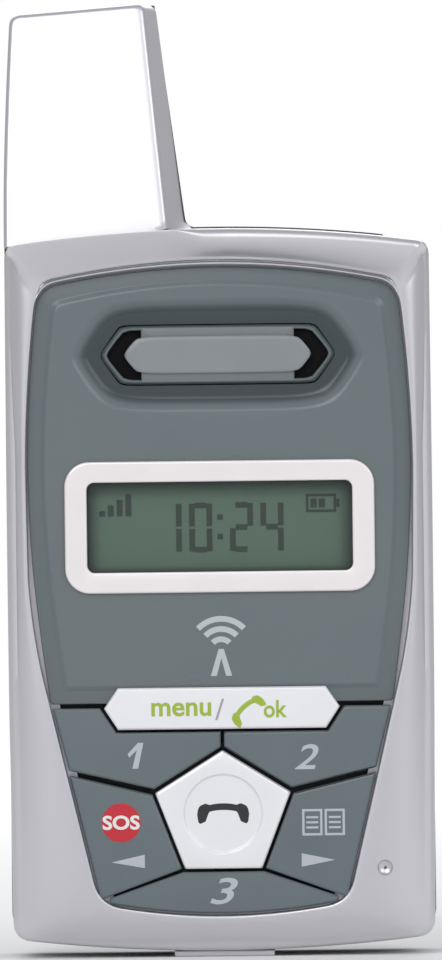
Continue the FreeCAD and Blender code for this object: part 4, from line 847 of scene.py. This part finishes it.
def receiver(x, z, length, turn, bend):
    """A telephone receiver: a bowed handle whose half thickness grows to a lobe at each end,
    h(t) = thin + lobe * step(|t|), on the centre line (t, -bend t^2), then turned and moved."""
    t = np.linspace(-1, 1, 60)
    lobe = eased((np.abs(t) - 0.5) / 0.2)
    end = np.sqrt(np.clip(1 - ((np.abs(t) - 0.86) / 0.14).clip(0) ** 2, 0, 1))
    thick = length * (0.085 + 0.06 * lobe)
    middle = -bend * length * np.abs(t) ** 2.2
    upper = np.stack([t * length / 2, middle + thick * end * 0.9], -1)
    lower = np.stack([t * length / 2, middle - thick * end * (0.6 + 0.9 * lobe)], -1)[::-1]
    along, across = np.concatenate([upper, lower[1:-1]]).T
    cos, sin = math.cos(turn), math.sin(turn)
    return np.stack([x + along * cos - across * sin, z + along * sin + across * cos], -1)


def disc(x, z, radius, count=48):
    angle = np.linspace(0, 2 * math.pi, count, endpoint=False)
    return np.stack([x + radius * np.cos(angle), z + radius * np.sin(angle)], -1)


lime = pale_print("lime_print", (0.36, 0.50, 0.05))
ash = pale_print("ash_print", (0.38, 0.38, 0.42))
jet = pale_print("jet_print", (0.02, 0.02, 0.022))
red = pale_print("red_print", (0.58, 0.02, 0.035))
white = pale_print("white_print", (0.86, 0.84, 0.84))
legend = pale_print("legend_print", (0.50, 0.54, 0.56))
INK, PROUD = 0.03, 0.015
menu_face, grey_face = SILVER_FACE - 0.005, GREY_FACE - 0.005
word("menu_word", "menu", (-7.6, -1.15, 26.0, 27.5), menu_face, "menu_key", lime,
     weight=0.02)
word("ok_word", "ok", (4.5, 7.0, 25.75, 27.65), menu_face, "menu_key", lime,
     weight=0.02)
flat_shape("menu_stroke", [[(-0.75, 25.55), (-0.5, 25.55), (0.25, 27.85), (0.0, 27.85)]],
           menu_face - PROUD, INK, "menu_key", ash, "silver_key")
flat_shape("menu_receiver", [receiver(2.45, 26.95, 4.1, math.radians(41), 0.16)],
           menu_face - PROUD, INK, "menu_key", lime, "silver_key")
flat_shape("end_receiver", [receiver(0.0, 16.15, 5.6, 0.0, 0.13)],
           DISH_FLOOR - 0.02, INK, "end_key", jet, "silver_key")
flat_shape("key_one_figure", [[(-8.5, 23.2), (-9.1, 20.42), (-9.72, 20.42), (-9.24, 22.4),
                               (-10.05, 21.62), (-10.22, 21.98), (-9.1, 23.2)]],
           grey_face - PROUD, INK, "key_one", legend, "grey_key")
for text, name, box in (("2", "key_two", (7.75, 10.35, 20.15, 22.85)),
                        ("3", "key_three", (-1.5, 1.5, 5.7, 8.55))):
    word(name + "_figure", text, box, grey_face, name, legend, 0.28, 0.01)
flat_shape("sos_disc", [disc(-11.0, 14.6, 2.1)], grey_face - PROUD, INK, "sos_key", red,
           "grey_key")
word("sos_word", "SOS", (-13.0, -9.0, 13.85, 15.4), grey_face - 0.03, "sos_key", white,
     weight=0.03)
flat_shape("left_arrow", [[(-12.1, 10.35), (-8.5, 9.7), (-8.5, 11.15)]], grey_face - PROUD, INK,
           "sos_key", legend, "grey_key")
flat_shape("right_arrow", [[(12.0, 10.35), (8.4, 11.1), (8.4, 9.65)]], grey_face - PROUD, INK,
           "book_key", legend, "grey_key")
BOOK_X, BOOK_LOW, BOOK_HIGH = 10.8, 13.0, 15.85
pages = []
for side in (-1, 1):
    near, far = BOOK_X + side * 0.12, BOOK_X + side * 2.3
    left, right = min(near, far), max(near, far)
    pages += frame_bars(left, right, BOOK_LOW, BOOK_HIGH, 0.25)
    pages += [box_loop(left + 0.45, right - 0.45, line, line + 0.23)
              for line in (BOOK_LOW + 0.75 + 0.55 * np.arange(3)).tolist()]
flat_shape("book_mark", pages, grey_face - PROUD, INK, "book_key", legend, "grey_key")

# ---------------------------------------------------------------- keypad and display parts
# Under the keys lie a silicone mat, a film and steel domes. The display's light guide, black
# frame and flex are clipped to the board.


def soft_silicone():
    rubber = Finish("silicone")
    dust = rubber.noise(0.8)
    return rubber.looks(Base_Color=rubber.mix(dust, (0.03, 0.033, 0.036), (0.05, 0.053, 0.057)),
                        Roughness=0.7 + 0.15 * dust, Normal=rubber.relief(dust, 0.01))


def amber_film():
    film = Finish("film")
    stain = film.noise(3.0)
    return film.looks(Base_Color=film.mix(stain, (0.42, 0.2, 0.05), (0.5, 0.26, 0.08)),
                      Roughness=0.25 + 0.1 * stain)


def milky_guide():
    guide = Finish("light_guide")
    dots = guide.noise(0.6)
    return guide.looks(Base_Color=guide.mix(dots, (0.72, 0.76, 0.7), (0.85, 0.88, 0.82)),
                       Roughness=0.3 + 0.1 * dots)


def brushed_steel():
    steel = Finish("steel")
    scratches = steel.noise(0.35, 4.0)
    return steel.looks(Base_Color=steel.mix(scratches, (0.5, 0.5, 0.5), (0.65, 0.65, 0.64)),
                       Metallic=1.0, Roughness=0.24 + 0.2 * scratches)


mat_rubber, steel = soft_silicone(), brushed_steel()
film = amber_film()
dress(mat_rubber, "keypad_mat", "earpiece_gasket", "microphone_boot", "perimeter_seal")
dress(film, "dome_film", "lcd_flex")
dress(steel, "key_domes", "board_screws", "housing_screws", "latch_spring", "sim_holder",
      "vibration_motor", "motor_weight", "backup_cell")
dress(milky_guide(), "backlight_guide")
dress(black, "lcd_frame", "earpiece_speaker", "ringer", "dock_connector", "microphone")

# ---------------------------------------------------------------- board and radio parts
# The main board is green fibreglass with tinned cans and black chips. The antenna is a ceramic
# core wrapped in copper on a small board of its own, with gold-plated springs to the main one.


def board_green():
    board = Finish("board_green")
    tracks = board.node("ShaderNodeTexBrick", {}, {
        "Vector": board.node("ShaderNodeMapping", {}, {
            "Vector": board.place, "Rotation": (math.pi / 2, 0.0, 0.0)}),
        "Scale": 400.0, "Mortar Size": 0.03}, output="Fac")
    weave = board.noise(0.5)
    return board.looks(
        Base_Color=board.mix(tracks, board.mix(weave, (0.01, 0.09, 0.035), (0.015, 0.12, 0.05)),
                             (0.05, 0.2, 0.08)),
        Roughness=0.35 + 0.1 * weave)


def plain_finish(name, dark, light, size, rough, metallic=0.0):
    """A finish that wanders between two colours, in blotches of this size in millimetres."""
    made = Finish(name)
    wander = made.noise(size, 3.0)
    return made.looks(Base_Color=made.mix(wander, dark, light), Metallic=metallic,
                      Roughness=rough + 0.15 * wander, Normal=made.relief(wander, 0.004))


board_finish = board_green()
chip = plain_finish("chip_black", (0.012, 0.012, 0.013), (0.025, 0.025, 0.027), 0.3, 0.5)
tin = plain_finish("tin_plate", (0.55, 0.55, 0.53), (0.68, 0.68, 0.66), 2.0, 0.25, 1.0)
gold = plain_finish("gold", (0.8, 0.52, 0.18), (0.9, 0.62, 0.25), 1.0, 0.2, 1.0)
ceramic = plain_finish("ceramic", (0.62, 0.58, 0.5), (0.7, 0.66, 0.58), 0.8, 0.5)
copper = plain_finish("copper_film", (0.62, 0.26, 0.13), (0.74, 0.34, 0.18), 1.5, 0.25, 1.0)
foil = plain_finish("cell_foil", (0.5, 0.52, 0.55), (0.62, 0.63, 0.66), 5.0, 0.3, 0.6)
card = plain_finish("card_white", (0.72, 0.73, 0.74), (0.8, 0.8, 0.8), 4.0, 0.4)
dress(board_finish, "main_board", "protection_board", "antenna_board")
dress(tin, "processor_can", "radio_can")
dress(chip, "board_chips")
dress(gold, "antenna_contacts", "dock_contacts", "pack_contacts", "battery_terminals")
dress(ceramic, "antenna_core", "key_lights")
dress(copper, "antenna_wrap", "cellular_element")
dress(foil, "battery_cell")
dress(card, "sim_card")

# ---------------------------------------------------------------- floor, light and camera
# A plain pale floor, a broad soft light from the upper left, a weaker one from the right, one
# from behind that lights the floor, and an even sky that looks white to the camera. The camera
# stands square in front, rolled a little about its own axis.


def floor_finish():
    paper = Finish("pale_floor")
    fibre = paper.noise(3.0)
    return paper.looks(Base_Color=paper.mix(fibre, (0.88, 0.88, 0.88), (0.92, 0.92, 0.92)),
                       Roughness=0.8 + 0.1 * fibre)


FLOOR_HALF = 0.9
floor_mesh = bpy.data.meshes.new("floor")
floor_mesh.from_pydata([(-FLOOR_HALF, -FLOOR_HALF, 0), (FLOOR_HALF, -FLOOR_HALF, 0),
                        (FLOOR_HALF, FLOOR_HALF, 0), (-FLOOR_HALF, FLOOR_HALF, 0)],
                       [], [(0, 1, 2, 3)])
floor_mesh.materials.append(floor_finish())
floor = bpy.data.objects.new("floor", floor_mesh)
bpy.context.scene.collection.objects.link(floor)

world = bpy.data.worlds.new("studio")
bpy.context.scene.world = world
world.use_nodes = True
nodes, links = world.node_tree.nodes, world.node_tree.links
sky = nodes["Background"]
sky.inputs["Color"].default_value = (0.86, 0.87, 0.9, 1.0)
sky.inputs["Strength"].default_value = 0.56
backdrop = nodes.new("ShaderNodeBackground")
backdrop.inputs["Color"].default_value = (1.0, 1.0, 1.0, 1.0)
backdrop.inputs["Strength"].default_value = 1.0
ray = nodes.new("ShaderNodeLightPath")
either = nodes.new("ShaderNodeMixShader")
links.new(ray.outputs["Is Camera Ray"], either.inputs["Fac"])
links.new(sky.outputs["Background"], either.inputs[1])
links.new(backdrop.outputs["Background"], either.inputs[2])
links.new(either.outputs["Shader"], nodes["World Output"].inputs["Surface"])


def soft_light(name, place, size, power, aim=(0.0, 0.0, 0.05)):
    """A square soft light at a place, turned to face its aim."""
    lamp = bpy.data.lights.new(name, "AREA")
    lamp.shape, lamp.size, lamp.energy = "SQUARE", size, power
    made = bpy.data.objects.new(name, lamp)
    bpy.context.scene.collection.objects.link(made)
    made.location = place
    made.rotation_euler = (Vector(aim) - Vector(place)).to_track_quat("-Z", "Y").to_euler()


soft_light("key_light", (-0.42, -1.15, 0.8), 0.8, 6.8)
soft_light("fill_light", (0.8, -1.1, 0.7), 0.8, 4.2)
soft_light("back_light", (0.0, 0.95, 0.55), 0.9, 5.0, (0.0, 0.75, 0.0))

scene = bpy.context.scene
scene.view_settings.view_transform = "Standard"
camera = bpy.data.cameras.new("camera")
camera.sensor_width = 36.0
camera.lens = 414.9
camera.clip_start, camera.clip_end = 0.05, 20.0
view = bpy.data.objects.new("camera", camera)
scene.collection.objects.link(view)
CAMERA_PLACE, CAMERA_ROLL = (0.0002, -1.2, 0.0514), 0.0121
view.location = CAMERA_PLACE
view.rotation_euler = (math.pi / 2, CAMERA_ROLL, 0.0)
scene.camera = view
